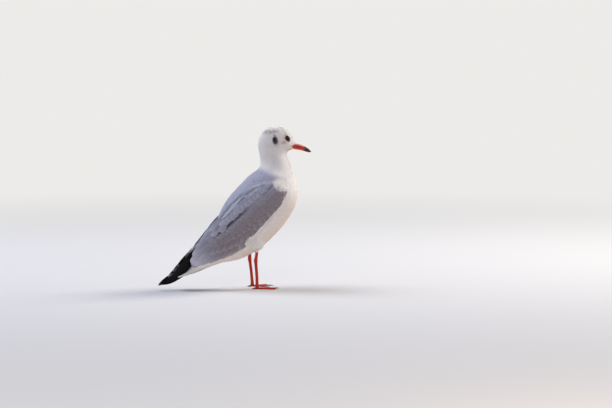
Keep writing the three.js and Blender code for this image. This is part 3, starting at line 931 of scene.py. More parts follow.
def mesh_of(name: str, points: Array, loops: Array, totals: Array) -> Mesh:
    """Makes a smooth mesh from arrays.

    Args:
        name: The mesh's name.
        points: One row for each vertex.
        loops: The vertex numbers of all polygons in a row.
        totals: The number of corners of each polygon.

    Returns:
        The mesh.
    """
    mesh = bpy.data.meshes.new(name)
    mesh.vertices.add(len(points))
    fill(mesh.vertices, "co", points)
    mesh.loops.add(len(loops))
    fill(mesh.loops, "vertex_index", loops, np.int32)
    mesh.polygons.add(len(totals))
    starts = np.concatenate([[0], np.cumsum(totals)[:-1]])
    fill(mesh.polygons, "loop_start", starts, np.int32)
    fill(mesh.polygons, "loop_total", totals, np.int32)
    mesh.update(calc_edges=True)
    mesh.validate()
    mesh.shade_smooth()
    mesh.set_sharp_from_angle(angle=math.radians(100))
    return mesh


def give_colours(mesh: Mesh, colours: Array) -> None:
    """Stores one colour for each vertex, for the material to read."""
    layer = mesh.attributes.new("plumage", "FLOAT_COLOR", "POINT")
    fill(layer.data, "color", np.pad(colours, ((0, 0), (0, 1)), constant_values=1.0))


def finished(name: str, mesh: Mesh, finish: Material,
             replaced: Sequence[str] = ()) -> Object:
    """Puts a mesh into the scene as a piece of the bird."""
    piece = linked(name, mesh)
    if not mesh.materials:
        mesh.materials.append(finish)
    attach(piece, BODY)
    if replaced:
        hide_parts(*replaced)
    return piece


def finished_shape(name: str, shape: BMesh, finish: Material,
                   replaced: Sequence[str] = ()) -> Object:
    """Puts a modelled shape into the scene as a smooth piece of the bird."""
    mesh = bpy.data.meshes.new(name)
    shape.to_mesh(mesh)
    shape.free()
    mesh.shade_smooth()
    LOG.info("%s: %d faces", name, len(mesh.polygons))
    return finished(name, mesh, finish, replaced)


def add_to(whole: BMesh, part: BMesh, material: int = 0) -> None:
    """Adds a part to a whole, in one of the whole's materials, and frees the part."""
    for face in part.faces:
        face.material_index = material
    mesh = bpy.data.meshes.new("part")
    part.to_mesh(mesh)
    part.free()
    whole.from_mesh(mesh)
    bpy.data.meshes.remove(mesh)


def rounded(rings: Array, along: int, around: int) -> Array:
    """Smooths rings of places, keeping the first and the last of their row.

    Args:
        rings: Rings, places, 3.
        along: Rounds of smoothing along the row.
        around: Rounds of smoothing round each ring.

    Returns:
        The smoothed rings.
    """
    for _ in range(along):
        rings = np.concatenate([rings[:1], (rings[:-2] + 2 * rings[1:-1] + rings[2:]) / 4, rings[-1:]])
    for _ in range(around):
        rings = (np.roll(rings, 1, 1) + 2 * rings + np.roll(rings, -1, 1)) / 4
    return rings


def circle(sides: int) -> tuple[Array, Array]:
    """The cosine and the sine at even steps round a circle."""
    turns = np.arange(sides) * 2 * math.pi / sides
    return np.cos(turns), np.sin(turns)


def tube(rings: Array) -> BMesh:
    """Models a closed tube through rings of places, with a fan of faces at both ends."""
    count, sides = rings.shape[:2]
    shape = bmesh.new()
    bmesh.ops.create_grid(shape, x_segments=sides, y_segments=count - 1, size=1)
    shape.verts.ensure_lookup_table()
    for i, vert in enumerate(shape.verts):
        vert.co = rings[i // (sides + 1), i % (sides + 1) % sides]
    bmesh.ops.remove_doubles(shape, verts=shape.verts, dist=0.0005 * MM)
    ends = bmesh.ops.holes_fill(shape, edges=shape.edges)
    bmesh.ops.poke(shape, faces=ends["faces"])
    bmesh.ops.recalc_face_normals(shape, faces=shape.faces)
    return shape


# ---- finishes

def rgba(colour: Colour) -> tuple:
    """A colour, given as sRGB hex or as linear values, with full alpha for a socket."""
    values = linear(colour) if isinstance(colour, str) else colour
    return (*(float(value) for value in values), 1.0)


class Nodes:
    """The emptied node tree of a material or a world, and short ways to add to it."""

    def __init__(self, owner: bpy.types.ID) -> None:
        """Takes the tree from its owner."""
        owner.use_nodes = True
        self.tree = owner.node_tree
        self.tree.nodes.clear()

    def add(self, kind: str, inputs: Optional[dict] = None, out: int | str = 0,
            **settings) -> Optional[Socket]:
        """Adds a node with its settings and links.

        Args:
            kind: The node's type without its prefix, such as "Math".
            inputs: A value or an output socket for each named or numbered input.
            out: The number or name of the output that is wanted.
            settings: The node's own settings.

        Returns:
            The wanted output, or None where the node has none.
        """
        made = self.tree.nodes.new("ShaderNode" + kind)
        for key, value in settings.items():
            setattr(made, key, value)
        for key, value in (inputs or {}).items():
            if isinstance(value, Socket):
                self.tree.links.new(value, made.inputs[key])
            else:
                made.inputs[key].default_value = value
        return made.outputs[out] if len(made.outputs) else None

    @property
    def place(self) -> Socket:
        """The place on the piece, in metres."""
        return self.add("TexCoord", out="Object")

    def parts(self, vector: Socket) -> bpy.types.NodeOutputs:
        """The three parts of a vector."""
        return self.add("SeparateXYZ", {0: vector}).node.outputs

    def maths(self, operation: str, *values) -> Socket:
        """The result of one Math node."""
        return self.add("Math", dict(enumerate(values)), operation=operation)

    def product(self, *values) -> Socket:
        """All values multiplied."""
        return reduce(partial(self.maths, "MULTIPLY"), values)

    def line(self, value: Socket, slope: float, start: float | Socket) -> Socket:
        """A value times a slope, plus a start."""
        return self.maths("MULTIPLY_ADD", value, slope, start)

    def span(self, value: Socket, low: float, high: float, least: float = 0.0) -> Socket:
        """Rises from the least result at low to 1 at high."""
        return self.add("MapRange", {0: value, 1: low, 2: high, 3: least})

    def noise(self, scale: float, detail: float, at: Optional[Socket] = None) -> Socket:
        """Noise with some features to a metre."""
        return self.add("TexNoise", {"Vector": at or self.place, "Scale": scale, "Detail": detail})

    def grain(self, scales: tuple) -> Socket:
        """Noise drawn out by a scale for each axis."""
        return self.noise(1.0, 3.0, self.add("Mapping", {"Vector": self.place, "Scale": scales}))

    def oval(self, across: Socket, up: Socket) -> Socket:
        """The square of the distance from the middle of an oval."""
        return self.maths("ADD", *(self.maths("POWER", way, 2.0) for way in (across, up)))

    def mixed(self, share: Socket, first: Colour, second: Colour) -> Socket:
        """The result of mixing two colours."""
        ends = (end if isinstance(end, Socket) else rgba(end) for end in (first, second))
        return self.add("Mix", dict(zip((0, 6, 7), (share, *ends))), out=2, data_type="RGBA")

    def plumage(self, shade: Socket) -> Socket:
        """The colour that the mesh carries, made darker by a shade."""
        colour = self.add("Attribute", out="Color", attribute_name="plumage")
        return self.add("VectorMath", {0: colour, "Scale": shade}, operation="SCALE")

    def length(self, vector: Socket) -> Socket:
        """The length of a vector."""
        return self.add("VectorMath", {0: vector}, out="Value", operation="LENGTH")

    def shown_plainly(self) -> Socket:
        """1 for rays that show the studio itself: from the camera, off gloss and through glass."""
        rays = self.add("LightPath").node.outputs
        either = self.maths("MAXIMUM", rays["Is Camera Ray"], rays["Is Glossy Ray"])
        return self.maths("MAXIMUM", either, rays["Is Transmission Ray"])

    def surface(self, colour: Socket, roughness: float | Socket, relief: tuple = (), **levels) -> Socket:
        """A surface of the principled shader.

        Args:
            colour: Its colour.
            roughness: Its roughness.
            relief: The height, strength and depth of its bump, or nothing.
            levels: More inputs of the shader, with _ for the spaces of their names.

        Returns:
            The shader.
        """
        inputs = {name.replace("_", " "): level for name, level in levels.items()}
        inputs |= {"Base Color": colour, "Roughness": roughness}
        if relief:
            inputs["Normal"] = self.add("Bump", dict(zip(("Height", "Strength", "Distance"), relief)))
        return self.add("BsdfPrincipled", inputs)


@dataclass(frozen=True)
class Finish:
    """A finish, named for its material and for how its surface was made."""

    name: str

    def shader(self, nodes: Nodes) -> Socket:
        """Builds the shader."""
        raise NotImplementedError

    def make(self) -> Material:
        """Builds the material."""
        material = bpy.data.materials.new(self.name)
        nodes = Nodes(material)
        nodes.add("OutputMaterial", {0: self.shader(nodes)})
        return material


@dataclass(frozen=True)
class FeatherFinish(Finish):
    """Keratin feather vane, grown: matt, with fine barbs that run out from the shaft."""

    roughness: float = 0.78
    sheen: float = 0.07
    gloss: float = 0.2
    furrow: float = 0.12  # depth of the furrows between barbs, as a bump strength
    streak: float = 0.05  # how much darker the furrows are
    barb: float = 0.8 * MM  # spacing of the barbs, drawn about twice as coarse as they are
    shaft: float = 0.10  # how much darker the shaft is
    tone: float = 0.10  # how far feathers differ from each other

    def shader(self, nodes: Nodes) -> Socket:
        """Barbs in furrows beside a darker shaft, each feather in a tone of its own."""
        parts = nodes.parts(nodes.add("Attribute", out="Vector", attribute_name="vane"))
        off_shaft = nodes.maths("ABSOLUTE", parts[0])
        run = nodes.line(off_shaft, -1.2, parts[1])
        drift = nodes.product(nodes.noise(330.0, 2.0), 9.0)
        phase = nodes.line(run, 2 * math.pi / self.barb, drift)
        barbs = nodes.line(nodes.maths("SINE", phase), 0.5, 0.5)
        clumps = nodes.noise(260.0, 3.0)
        shade = nodes.product(
            nodes.line(barbs, self.streak, 1 - self.streak),
            nodes.line(parts[2], self.tone, 1 - self.tone / 2), nodes.line(clumps, 0.14, 0.93),
            nodes.span(off_shaft, 0.12 * MM, 0.45 * MM, 1 - self.shaft))
        relief = (nodes.line(barbs, 0.5, clumps), self.furrow, 0.4 * MM)
        return nodes.surface(nodes.plumage(shade), self.roughness, relief, Sheen_Weight=self.sheen,
                             Sheen_Roughness=0.5, Specular_IOR_Level=self.gloss)


@dataclass(frozen=True)
class DownFinish(Finish):
    """Skin under close down: dull and fluffy, with the colours of the feathers over it."""

    name: str = "skin_with_down"
    clump: float = 1.5 * MM

    def shader(self, nodes: Nodes) -> Socket:
        """Soft clumps."""
        fluff = nodes.noise(1 / self.clump, 5.0)
        colour = nodes.plumage(nodes.line(fluff, 0.16, 0.88))
        return nodes.surface(colour, 0.9, (fluff, 0.5, 0.6 * MM), Sheen_Weight=0.15, Specular_IOR_Level=0.15)


@dataclass(frozen=True, kw_only=True)
class BillFinish(Finish):
    """Bill horn, grown in layers: smooth with a soft gloss, red at the face and black at the tip."""

    name: str = "bill_horn_grown"
    root: float  # X of the bill's root
    tip: float  # X of the bill's tip
    nostril: tuple  # X and Z of the nostrils
    gape: float  # Z of the corner of the mouth
    red: str = "#c9210d"
    deep: str = "#941708"
    orange: str = "#e0400f"
    olive: str = "#3f2c16"
    # colour of the highlight painted along the ridge
    ridge: str = "#eec4ae"
    black: str = "#17100f"
    pale: str = "#a8501f"

    def shader(self, nodes: Nodes) -> Socket:
        """Red layers with a dark olive patch of painted shade along the mouth line, the nostrils, a painted
        highlight along the ridge and a black tip, each laid over the last.
        """
        parts = nodes.parts(nodes.place)
        cloud = nodes.noise(420.0, 4.0)
        share = nodes.maths("ADD", nodes.span(parts[0], self.root, self.tip), nodes.line(cloud, 0.10, -0.05))
        mouth = nodes.line(parts[0], MOUTH_SLOPE, self.gape - MOUTH_SLOPE * self.root)
        height = nodes.maths("SUBTRACT", parts[2], mouth)
        # painted shade, dark olive, along the mouth line between the halves
        mouth_shade_x = nodes.line(parts[0], 1 / (6.5 * MM), -(self.root + 13.5 * MM) / (6.5 * MM))
        mouth_shade = nodes.oval(mouth_shade_x, nodes.product(height, 1 / (1.15 * MM)))
        slit_x = nodes.line(parts[0], 1 / (2.3 * MM), -self.nostril[0] / (2.3 * MM))
        slit_z = nodes.line(parts[2], 1 / (0.62 * MM), -self.nostril[1] / (0.62 * MM))
        hole = nodes.oval(slit_x, nodes.line(slit_x, 0.35, slit_z))
        colour = self.red
        for where, weight, over in (
                (cloud, 0.5, self.deep),
                (nodes.span(height, -0.6 * MM, -2.6 * MM), 0.8, self.orange),
                # painted highlight along the top of the bill's root
                (nodes.span(nodes.line(share, 3.6 * MM, height), 4.7 * MM, 5.9 * MM), 0.55, self.ridge),
                (nodes.span(mouth_shade, 1.3, 0.3), 0.8, self.olive),
                (nodes.span(hole, 1.2, 0.4), 0.85, self.black),
                (nodes.span(share, 0.60, 0.71), 1.0, self.black),
                (nodes.span(share, 0.90, 0.97), 0.6, self.pale)):
            colour = nodes.mixed(nodes.product(where, weight), colour, over)
        lines = nodes.grain((250.0, 1800.0, 1800.0))
        return nodes.surface(colour, nodes.line(lines, 0.18, 0.26), (lines, 0.25, 0.15 * MM),
                             Coat_Weight=0.15, Coat_Roughness=0.3)


@dataclass(frozen=True)
class LegFinish(Finish):
    """Scaly skin of the legs and feet: leathery, with dark seams between small plates."""

    name: str = "leg_skin_scaled"
    light: str = "#cf340f"
    dark: str = "#861a06"
    scale: float = 1.1 * MM

    def shader(self, nodes: Nodes) -> Socket:
        """Plates between seams."""
        cells = nodes.add("TexVoronoi", {"Vector": nodes.place, "Scale": 1 / self.scale},
                          feature="DISTANCE_TO_EDGE")
        plate = nodes.span(cells, 0.0, 0.10)
        share = nodes.product(plate, nodes.line(nodes.noise(300.0, 4.0), 0.9, 0.35))
        return nodes.surface(nodes.mixed(share, self.dark, self.light), 0.5, (plate, 0.35, 0.15 * MM),
                             Specular_IOR_Level=0.35)


@dataclass(frozen=True)
class GrainFinish(Finish):
    """A small dark surface with a grain, such as horn scratched by walking or wrinkled bare skin."""

    colour: str
    grain: tuple  # features to a metre along each axis
    light: float  # how much lighter than the colour the grain gets
    roughness: float
    bump: float

    def shader(self, nodes: Nodes) -> Socket:
        """Grain in both colour and relief."""
        lines = nodes.grain(self.grain)
        base = nodes.mixed(lines, linear(self.colour) * 0.6, linear(self.colour) * self.light)
        return nodes.surface(base, self.roughness, (lines, self.bump, 0.1 * MM))


@dataclass(frozen=True, kw_only=True)
class EyeFinish(Finish):
    """Eye under its clear cornea: wet and glossy, a dark brown iris round a black pupil."""

    name: str = "eye_wet"
    centre: Array
    iris: str = "#1c0e0a"
    rim: str = "#080505"
    pupil: float = 2.5 * MM
    edge: float = 4.3 * MM

    def shader(self, nodes: Nodes) -> Socket:
        """The fibres of the iris between its rim and the pupil, under a wet coat."""
        off = nodes.add("VectorMath", {0: nodes.place, 1: (-self.centre).tolist()}, operation="ADD")
        parts = nodes.parts(off)
        far = nodes.length(nodes.add("CombineXYZ", {0: parts[0], 2: parts[2]}))
        angle = nodes.maths("ARCTAN2", parts[2], parts[0])
        ray = nodes.add("CombineXYZ", {0: nodes.product(angle, 9.0), 1: nodes.product(far, 300.0)})
        iris, rim = linear(self.iris), linear(self.rim)
        colour = nodes.mixed(nodes.noise(1.5, 3.0, ray), iris * 0.4, iris * 1.6)
        colour = nodes.mixed(nodes.span(far, self.edge * 0.8, self.edge), colour, rim)
        colour = nodes.mixed(nodes.span(far, self.pupil, self.pupil + 0.25 * MM), rim * 0.5, colour)
        return nodes.surface(colour, 0.5, Specular_IOR_Level=0.0, Coat_Weight=1.0,
                             Coat_Roughness=0.03, Coat_IOR=1.33)


@dataclass(frozen=True)
class PaperFinish(Finish):
    """Matt studio paper, rolled: pale and even, with a faint tooth."""

    name: str = "studio_paper"
    colour: str = "#cccdce"
    backdrop: str = "#ecebe9"
    near: float = 0.45
    far: float = 2.2

    def shader(self, nodes: Nodes) -> Socket:
        """Paper round the bird that is shown evenly pale far from it, as a lit backdrop would be."""
        base = nodes.mixed(nodes.noise(40.0, 4.0), linear(self.colour) * 0.985, self.colour)
        paper = nodes.surface(base, 0.95, Specular_IOR_Level=0.1)
        away = nodes.add("MapRange", {0: nodes.length(nodes.place), 1: self.near, 2: self.far},
                         interpolation_type="SMOOTHSTEP")
        pale = nodes.add("Emission", {0: rgba(self.backdrop), 1: 1.0})
        share = nodes.product(away, nodes.shown_plainly())
        return nodes.add("MixShader", {0: share, 1: paper, 2: pale})


# ---- body

@dataclass
class Body:
    """The outline of the feathered bird and the skin that lies inside it."""

    voxel: float = 1.3 * MM
    rounds: int = 8
    coat_head: float = 0.6 * MM
    coat_body: float = 1.3 * MM
    coat_wing: float = 2.5 * MM
    share: float = 0.33  # the deepest that the coat may be, as a share of a thin part
    thickest: float = 30 * MM  # parts thicker than this aren't measured
    blend: int = 40  # rounds that smooth how far the surface faces the back
    outline: Surface = field(init=False)
    wing: Array = field(init=False)
    dorsal: Array = field(init=False)

    def make_outline(self) -> None:
        """Fuses the solids of flesh and eyes into one smooth outline."""
        points, triangles = remeshed(joined_copy(FLESH + EYES), self.voxel)
        points = evened(points, triangles, self.rounds)
        self.outline = Surface(points, triangles)
        wings = solid("wing_right", "wing_left")
        hit = wings.snap(points)
        off = np.linalg.norm(points - hit.places, axis=1)
        along, up = Planform(CHART).plan(points)
        over_edge = up - height_of(Planform.LOWER_EDGE, along)
        self.wing = ramp(1.6 * MM, 0.5 * MM, off) * ramp(-3.5, -2.0, over_edge)
        back = unit(CHART.at(0.0, 1.0) - CHART.at(0.75, 0.0))
        self.dorsal = evened((self.outline.normals @ back)[:, None], triangles, self.blend, (0.5,))[:, 0]
        LOG.info("outline: %d triangles", len(triangles))

    def depth(self, bill: Surface) -> Array:
        """How far the skin lies under the outline, for each vertex."""
        points, normals = self.outline.points, self.outline.normals
        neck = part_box("neck")
        headness = ramp(neck[0].z, neck[1].z, points[:, 2])
        depth = self.coat_body + headness * (self.coat_head - self.coat_body)
        depth = depth + self.wing * (self.coat_wing - depth)
        thick = np.full(len(points), 1.0)
        for i, (place, way) in enumerate(zip(points - normals * 0.1 * MM, -normals)):
            hit = self.outline.tree.ray_cast(place, way, self.thickest)
            if hit[0] is not None:
                thick[i] = hit[3]
        near_bill = np.linalg.norm(points - bill.snap(points).places, axis=1)
        depth = depth * (0.45 + 0.55 * ramp(0, 4 * MM, near_bill))
        return np.minimum(depth, self.share * thick)

    def make_skin(self, markings: Markings, eyes: Sequence["Eye"], gape: "Gape", bill: Surface,
                  finishes: Sequence[Material]) -> None:
        """Lays one skin inside the outline, with lids round the eyes and a fold behind the bill.

        Args:
            markings: The colours of the plumage.
            eyes: The eyes, with their lids.
            gape: The fold at the corner of the mouth.
            bill: The solid of the bill.
            finishes: The materials of the skin, the lids and the fold.
        """
        outline = self.outline
        colours = markings.paint(outline.points, self.wing, self.dorsal)
        points = outline.points - outline.normals * self.depth(bill)[:, None]
        points = evened(points, outline.triangles, 2)
        for eye in eyes:
            off = points - eye.centre
            far = np.linalg.norm(off, axis=1)
            beside = np.hypot(off[:, 0] / eye.half_width, off[:, 2] / eye.half_height)
            socket = eye.radius + (0.65 * ramp(0.9, 1.05, beside) - 0.5) * MM
            inside = far < eye.radius + 1.3 * MM
            points[inside] = (eye.centre + off * (socket / far)[:, None])[inside]
        mesh = mesh_of("skin", points, outline.triangles.ravel(), np.full(len(outline.triangles), 3))
        give_colours(mesh, colours)
        for finish in finishes:
            mesh.materials.append(finish)
        shape = bmesh.new()
        shape.from_mesh(mesh)
        for eye in eyes:
            eye.add_lid(shape)
            gape.add(shape, outline, bill, eye.side)
        shape.to_mesh(mesh)
        shape.free()
        mesh.shade_smooth()
        finished("skin", mesh, finishes[0], FLESH)
        LOG.info("skin: %d faces", len(mesh.polygons))


@dataclass
class Eye:
    """One eyeball with its cornea, and the lid round it."""

    side: Side
    half_width: float = 4.3 * MM
    half_height: float = 4.8 * MM
    lid: float = 0.36 * MM  # half the thickness of the lid's edge

    def __post_init__(self) -> None:
        """Takes the centre and size of the eyeball from its solid."""
        low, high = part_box("eye_" + self.side.word)
        self.centre = np.array((low + high) / 2)
        self.radius = (high.x - low.x) / 2 * 1.015

    def make(self, finish: Material) -> None:
        """Models the eyeball as a sphere with a slightly bulging cornea."""
        ball = bmesh.new()
        bmesh.ops.create_uvsphere(ball, u_segments=40, v_segments=28, radius=self.radius)
        bmesh.ops.rotate(ball, verts=ball.verts, cent=(0, 0, 0), matrix=Matrix.Rotation(math.pi / 2, 3, "X"))
        for vert in ball.verts:
            off = math.hypot(vert.co.x, vert.co.z)
            if vert.co.y * self.side.value > 0:
                vert.co.y += self.side.value * 0.35 * MM * math.exp(-(off / (2.6 * MM)) ** 2)
        bmesh.ops.translate(ball, verts=ball.verts, vec=self.centre)
        finished_shape("eyeball_" + self.side.word, ball, finish, ("eye_" + self.side.word,))

    def add_lid(self, skin: BMesh) -> None:
        """Adds the rounded edge of the lids to the skin."""
        lid = bmesh.new()
        bmesh.ops.create_circle(lid, segments=10, radius=self.lid)
        bmesh.ops.translate(lid, verts=lid.verts, vec=(self.half_width, 0, 0))
        bmesh.ops.spin(lid, geom=lid.verts[:] + lid.edges[:], cent=(0, 0, 0), axis=(0, 1, 0),
                       angle=2 * math.pi, steps=56, use_merge=True)
        bmesh.ops.remove_doubles(lid, verts=lid.verts, dist=0.01 * MM)
        bmesh.ops.recalc_face_normals(lid, faces=lid.faces)
        for vert in lid.verts:
            vert.co.z *= self.half_height / self.half_width
            # both corners of the lids are drawn out to a short point, the front one further
            turn = abs(math.atan2(vert.co.z, vert.co.x))
            front, rear = (math.exp(-((turn - corner) / 0.3) ** 2) for corner in (0, math.pi))
            vert.co.x *= 1 + 0.10 * front + 0.06 * rear
            flat = min(math.hypot(vert.co.x, vert.co.z), self.radius * 0.98)
            vert.co.y += self.side.value * math.sqrt(self.radius ** 2 - flat ** 2)
        bmesh.ops.translate(lid, verts=lid.verts, vec=self.centre)
        add_to(skin, lid, 1)


@dataclass
class Gape:
    """The bare red fold of skin that runs back from the corner of the mouth, on both sides."""

    wide: float = 0.95 * MM  # half its height near the bill
    thin: float = 0.15 * MM  # half its height at its end

    def __post_init__(self) -> None:
        """Lays the fold's line from the bill back into the face."""
        corner = Vector((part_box("bill_upper")[0].x, 0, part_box("bill_lower")[1].z))
        self.start = np.array(corner + Vector((5.2, 0, -0.4)) * MM)
        self.end = np.array(corner + Vector((-2.8, 0, 1.2)) * MM)

    def half(self, share: Array) -> Array:
        """Half the fold's height at a share of its length: it swells, then tapers to its end."""
        share = np.clip(share, 0, 1)
        swell = (1 - share) ** 0.7 * np.minimum(1, 0.3 + 2.5 * share)
        return self.thin + (self.wide - self.thin) * swell

    def along(self, places: Array) -> tuple[Array, Array]:
        """How far along the fold places lie, as a share, and how far off its line."""
        run = self.end - self.start
        off = (places - self.start) * np.array([1, 0, 1])
        share = off @ run / (run @ run)
        return share, np.linalg.norm(off - np.clip(share, 0, 1)[..., None] * run, axis=-1)

    def add(self, skin: BMesh, outline: Surface, bill: Surface, side: Side) -> None:
        """Adds the fold of one side to the skin, over the root of the bill and the face."""
        shares = np.linspace(0, 1, 16)
        line = self.start + shares[:, None] * (self.end - self.start)
        hits, before = (surface.met(line, (0, -side.value, 0)) for surface in (outline, bill))
        on_bill = (line[:, 0] > self.start[0] - 1.3 * MM)[:, None]
        sunk = before.places - np.array([0, side.value * 0.4 * MM, 0])
        centres = np.where(on_bill, sunk, hits.places + np.array([0, side.value * 0.15 * MM, 0]))
        centres = rounded(centres[:, None], 4, 0)[:, 0]
        way = unit(centres[-1] - centres[0])
        over = flattened(hits.normals, way[None])
        beside = np.cross(over, way)
        cos, sin = circle(12)
        round_line = cos[:, None] * beside[:, None] + 0.6 * sin[:, None] * over[:, None]
        rings = centres[:, None] + self.half(shares)[:, None, None] * round_line
        add_to(skin, tube(rings), 2)


# ---- contour feathers

@dataclass
class SmallFeathers:
    """The feathers of head, neck, breast, belly, flanks and mantle."""

    CLEAR = 0.1 * MM  # kept free round the lids and the fold
    # for each tract: cut, spacing, width, depth of the roots, degrees of stray, blend of the colour
    CUTS = {
        "head": (TUFT, 0.145, 0.31, 0.075, 5, 1.0),
        "neck": (TUFT, 0.115, 0.25, 0.07, 5, 0.8),
        "breast": (SOFT_FEATHER, 0.125, 0.31, 0.046, 4, 0.3),
        "belly": (SOFT_FEATHER, 0.122, 0.31, 0.046, 4, 0.3),
        "mantle": (COVERT, 0.22, 0.60, 0.08, 3, 0.6),
    }
    UNEVEN = (0.85, 1.15)  # the shortest and the longest feather, for each length that is meant

    coat: Coat
    eyes: Sequence[Eye]
    gape: Gape
    bill: Surface
    white: Material
    grey: Material

    def clear_of_face(self, flock: Flock) -> Flock:
        """Drops the feathers that would lie over an eye or over the fold behind the bill."""
        share, off = self.gape.along(flock.points)
        keep = ((off > self.gape.half(share) + self.CLEAR) | (share >= 1) | (share <= 0)).all(1)
        for eye in self.eyes:
            own_side = flock.roots[:, 1] * eye.side.value > 0
            off = flock.points - eye.centre
            far = np.hypot(off[..., 0] / (eye.half_width + self.CLEAR),
                           off[..., 2] / (eye.half_height + self.CLEAR))
            keep &= ~(own_side & (far.min(1) < 1))
        return flock.only(keep)

    def bill_base(self) -> Flock:
        """Lays the short feathers that reach from the face onto the root of the bill."""
        surface = Surface(*remeshed(joined_copy(BILL), 0.45 * MM))
        none = np.zeros(len(surface.points))
        coat = Coat(surface, self.coat.lie, self.coat.markings, self.coat.unwrap, none, none)
        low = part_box("bill_upper")[0]
        x = (surface.points[:, 0] - low.x) / MM
        height = surface.points[:, 2] / MM - (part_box("bill_lower")[1].z / MM + MOUTH_SLOPE * x)
        above = np.interp(height, (0.3, 2.4, 3.4, 4.4), (-1.0, 0.8, 6.5, 10.0))
        below = np.interp(-height, (0.0, 0.8, 2.0, 5.0), (0.5, 2.8, 3.8, 4.6))
        wanted = x < np.where(height > 0, above, below)
        roots = surface.scatter(coat.rng, np.full(len(x), 0.3 * MM), wanted)
        lengths = coat.rng.uniform(1.6, 2.1, len(roots.places)) * MM
        return coat.lay(roots, TUFT, lengths, lengths * 0.36, 0.1, 6, 0.12 * MM)

    def cuff(self, side: Side, count: int = 90) -> Flock:
        """Lays the feathers of one thigh that hang over the top of the leg."""
        rng = self.coat.rng
        turn = rng.uniform(0, 2 * math.pi, count)
        out = np.stack([np.cos(turn), np.sin(turn), np.zeros(count)], axis=1)
        wide = rng.uniform(1.6, 3.0, count)[:, None] * MM
        hang = rng.uniform(0.5, 4.0, count)[:, None] * MM
        top = np.array(leg_end(side, True))
        root = top + out * (wide + 0.8 * MM) + np.array([1, 0, 5]) * MM
        tip = top + out * wide + hang * np.array([-0.35, 0, -1])
        stations = np.stack([root, (root + tip) / 2 + out * 0.5 * MM, tip], axis=1)
        uprights = np.repeat(out[:, None], 3, 1)
        widths = rng.uniform(1.8, 2.6, count) * MM
        level = rng.uniform(0, 0.6, count) * MM
        points = Coat.shape(SOFT_FEATHER, stations, uprights, widths, level, widths * 0.1, widths * 0.1)
        lengths = np.linalg.norm(tip - root, axis=1)
        return self.coat.painted(SOFT_FEATHER, points, self.coat.outline.snap(tip), root, lengths, widths)

    def parts(self) -> dict[str, Array]:
        """Which vertices of the outline carry which tract."""
        points = self.coat.outline.points
        wing, dorsal = self.coat.wing, self.coat.dorsal
        head, neck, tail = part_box("head"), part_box("neck"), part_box("tail")
        off_bill = np.linalg.norm(points - self.bill.snap(points).places, axis=1) > 0.2 * MM
        # the cut under the head runs obliquely, from the nape down to the throat
        slope = (points[:, 0] - neck[0].x) / (neck[1].x - neck[0].x)
        on_head = points[:, 2] > head[0].z + (1 - slope) * 24 * MM
        grey = self.coat.markings.greyness(points, wing * 0, dorsal) > 0.5
        free = ~on_head & (wing < 0.35)
        on_neck = free & ~grey & (points[:, 2] > neck[0].z)
        over_tail = np.where(dorsal < 0, 42 * MM, 24 * MM)
        on_trunk = free & ~grey & ~on_neck & (points[:, 0] > tail[1].x - over_tail)
        low = points[:, 2] < CHART.at(0, 0.44)[2]
        return {
            "head": on_head & off_bill,
            "neck": on_neck,
            "breast": on_trunk & ~low,
            "belly": on_trunk & low,
            "mantle": free & grey & (points[:, 0] > CHART.at(0.30, 0)[0]),
        }

    def make(self) -> None:
        """Lays every tract and joins each into one piece."""
        coat = self.coat
        sizes = coat.lie.sizes(coat.outline.points)
        for name, wanted in self.parts().items():
            vane, spacing, breadth, sink, stray, soft = self.CUTS[name]
            roots = coat.outline.scatter(coat.rng, sizes * spacing, wanted)
            lengths = roots.read(sizes) * coat.rng.uniform(*self.UNEVEN, len(roots.places))
            flocks = [coat.lay(roots, vane, lengths, lengths * breadth, sink, stray, soft=soft)]
            colour, finish = "white", self.white
            if name == "head":
                flocks = [self.clear_of_face(flock) for flock in (*flocks, self.bill_base())]
            elif name == "belly":
                flocks += [self.cuff(side) for side in Side]
            elif name == "mantle":
                flocks[0].deepen(0.15)
                colour, finish = "grey", self.grey
            coat.piece("feathers_" + name, flocks, "plumage_" + colour, finish)


# ---- wings and tail

@dataclass(frozen=True)
class Row:
    """A row of long feathers on a folded wing, from the front to the rear, in millimetres.

    Pairs are values for the first and the last feather of the row.
    """

    vane: Vane
    count: int
    tips: tuple  # line through the tips, on the plan
    length: tuple
    width: tuple
    lean: tuple  # degrees that they point below the wing's long axis
    level: tuple  # height of the tips over the outline
    sink: float  # depth of the roots under the tips
    fringe: float = 0.2  # strength of the pale fringe
    roll: float = 0.15  # height of the lower edges over the middle, less than 0 for the upper
    base: float = 0.22  # how much darker the feathers are towards their roots
    upright: float = 1.0  # how far they lie in the plane of the plan


PLUME_SHADE_TINT = np.array([0.98, 0.96, 0.93])  # painted shade, slightly warm, on the plumes of the flanks
STEPS = np.linspace(0, 1, 4)[None, :, None]  # of the stations along a long feather
BLADE = Vane(rings=14, across=7, wide=0.55, quill=0.5, round=2.1, ridge=0.05)
PLUME = Vane(rings=8, across=7, wide=0.62, quill=0.45, round=2.2, ridge=0.04)
TERTIAL = Vane(rings=14, across=9, wide=0.74, quill=0.5, round=2.6, ridge=0.05)

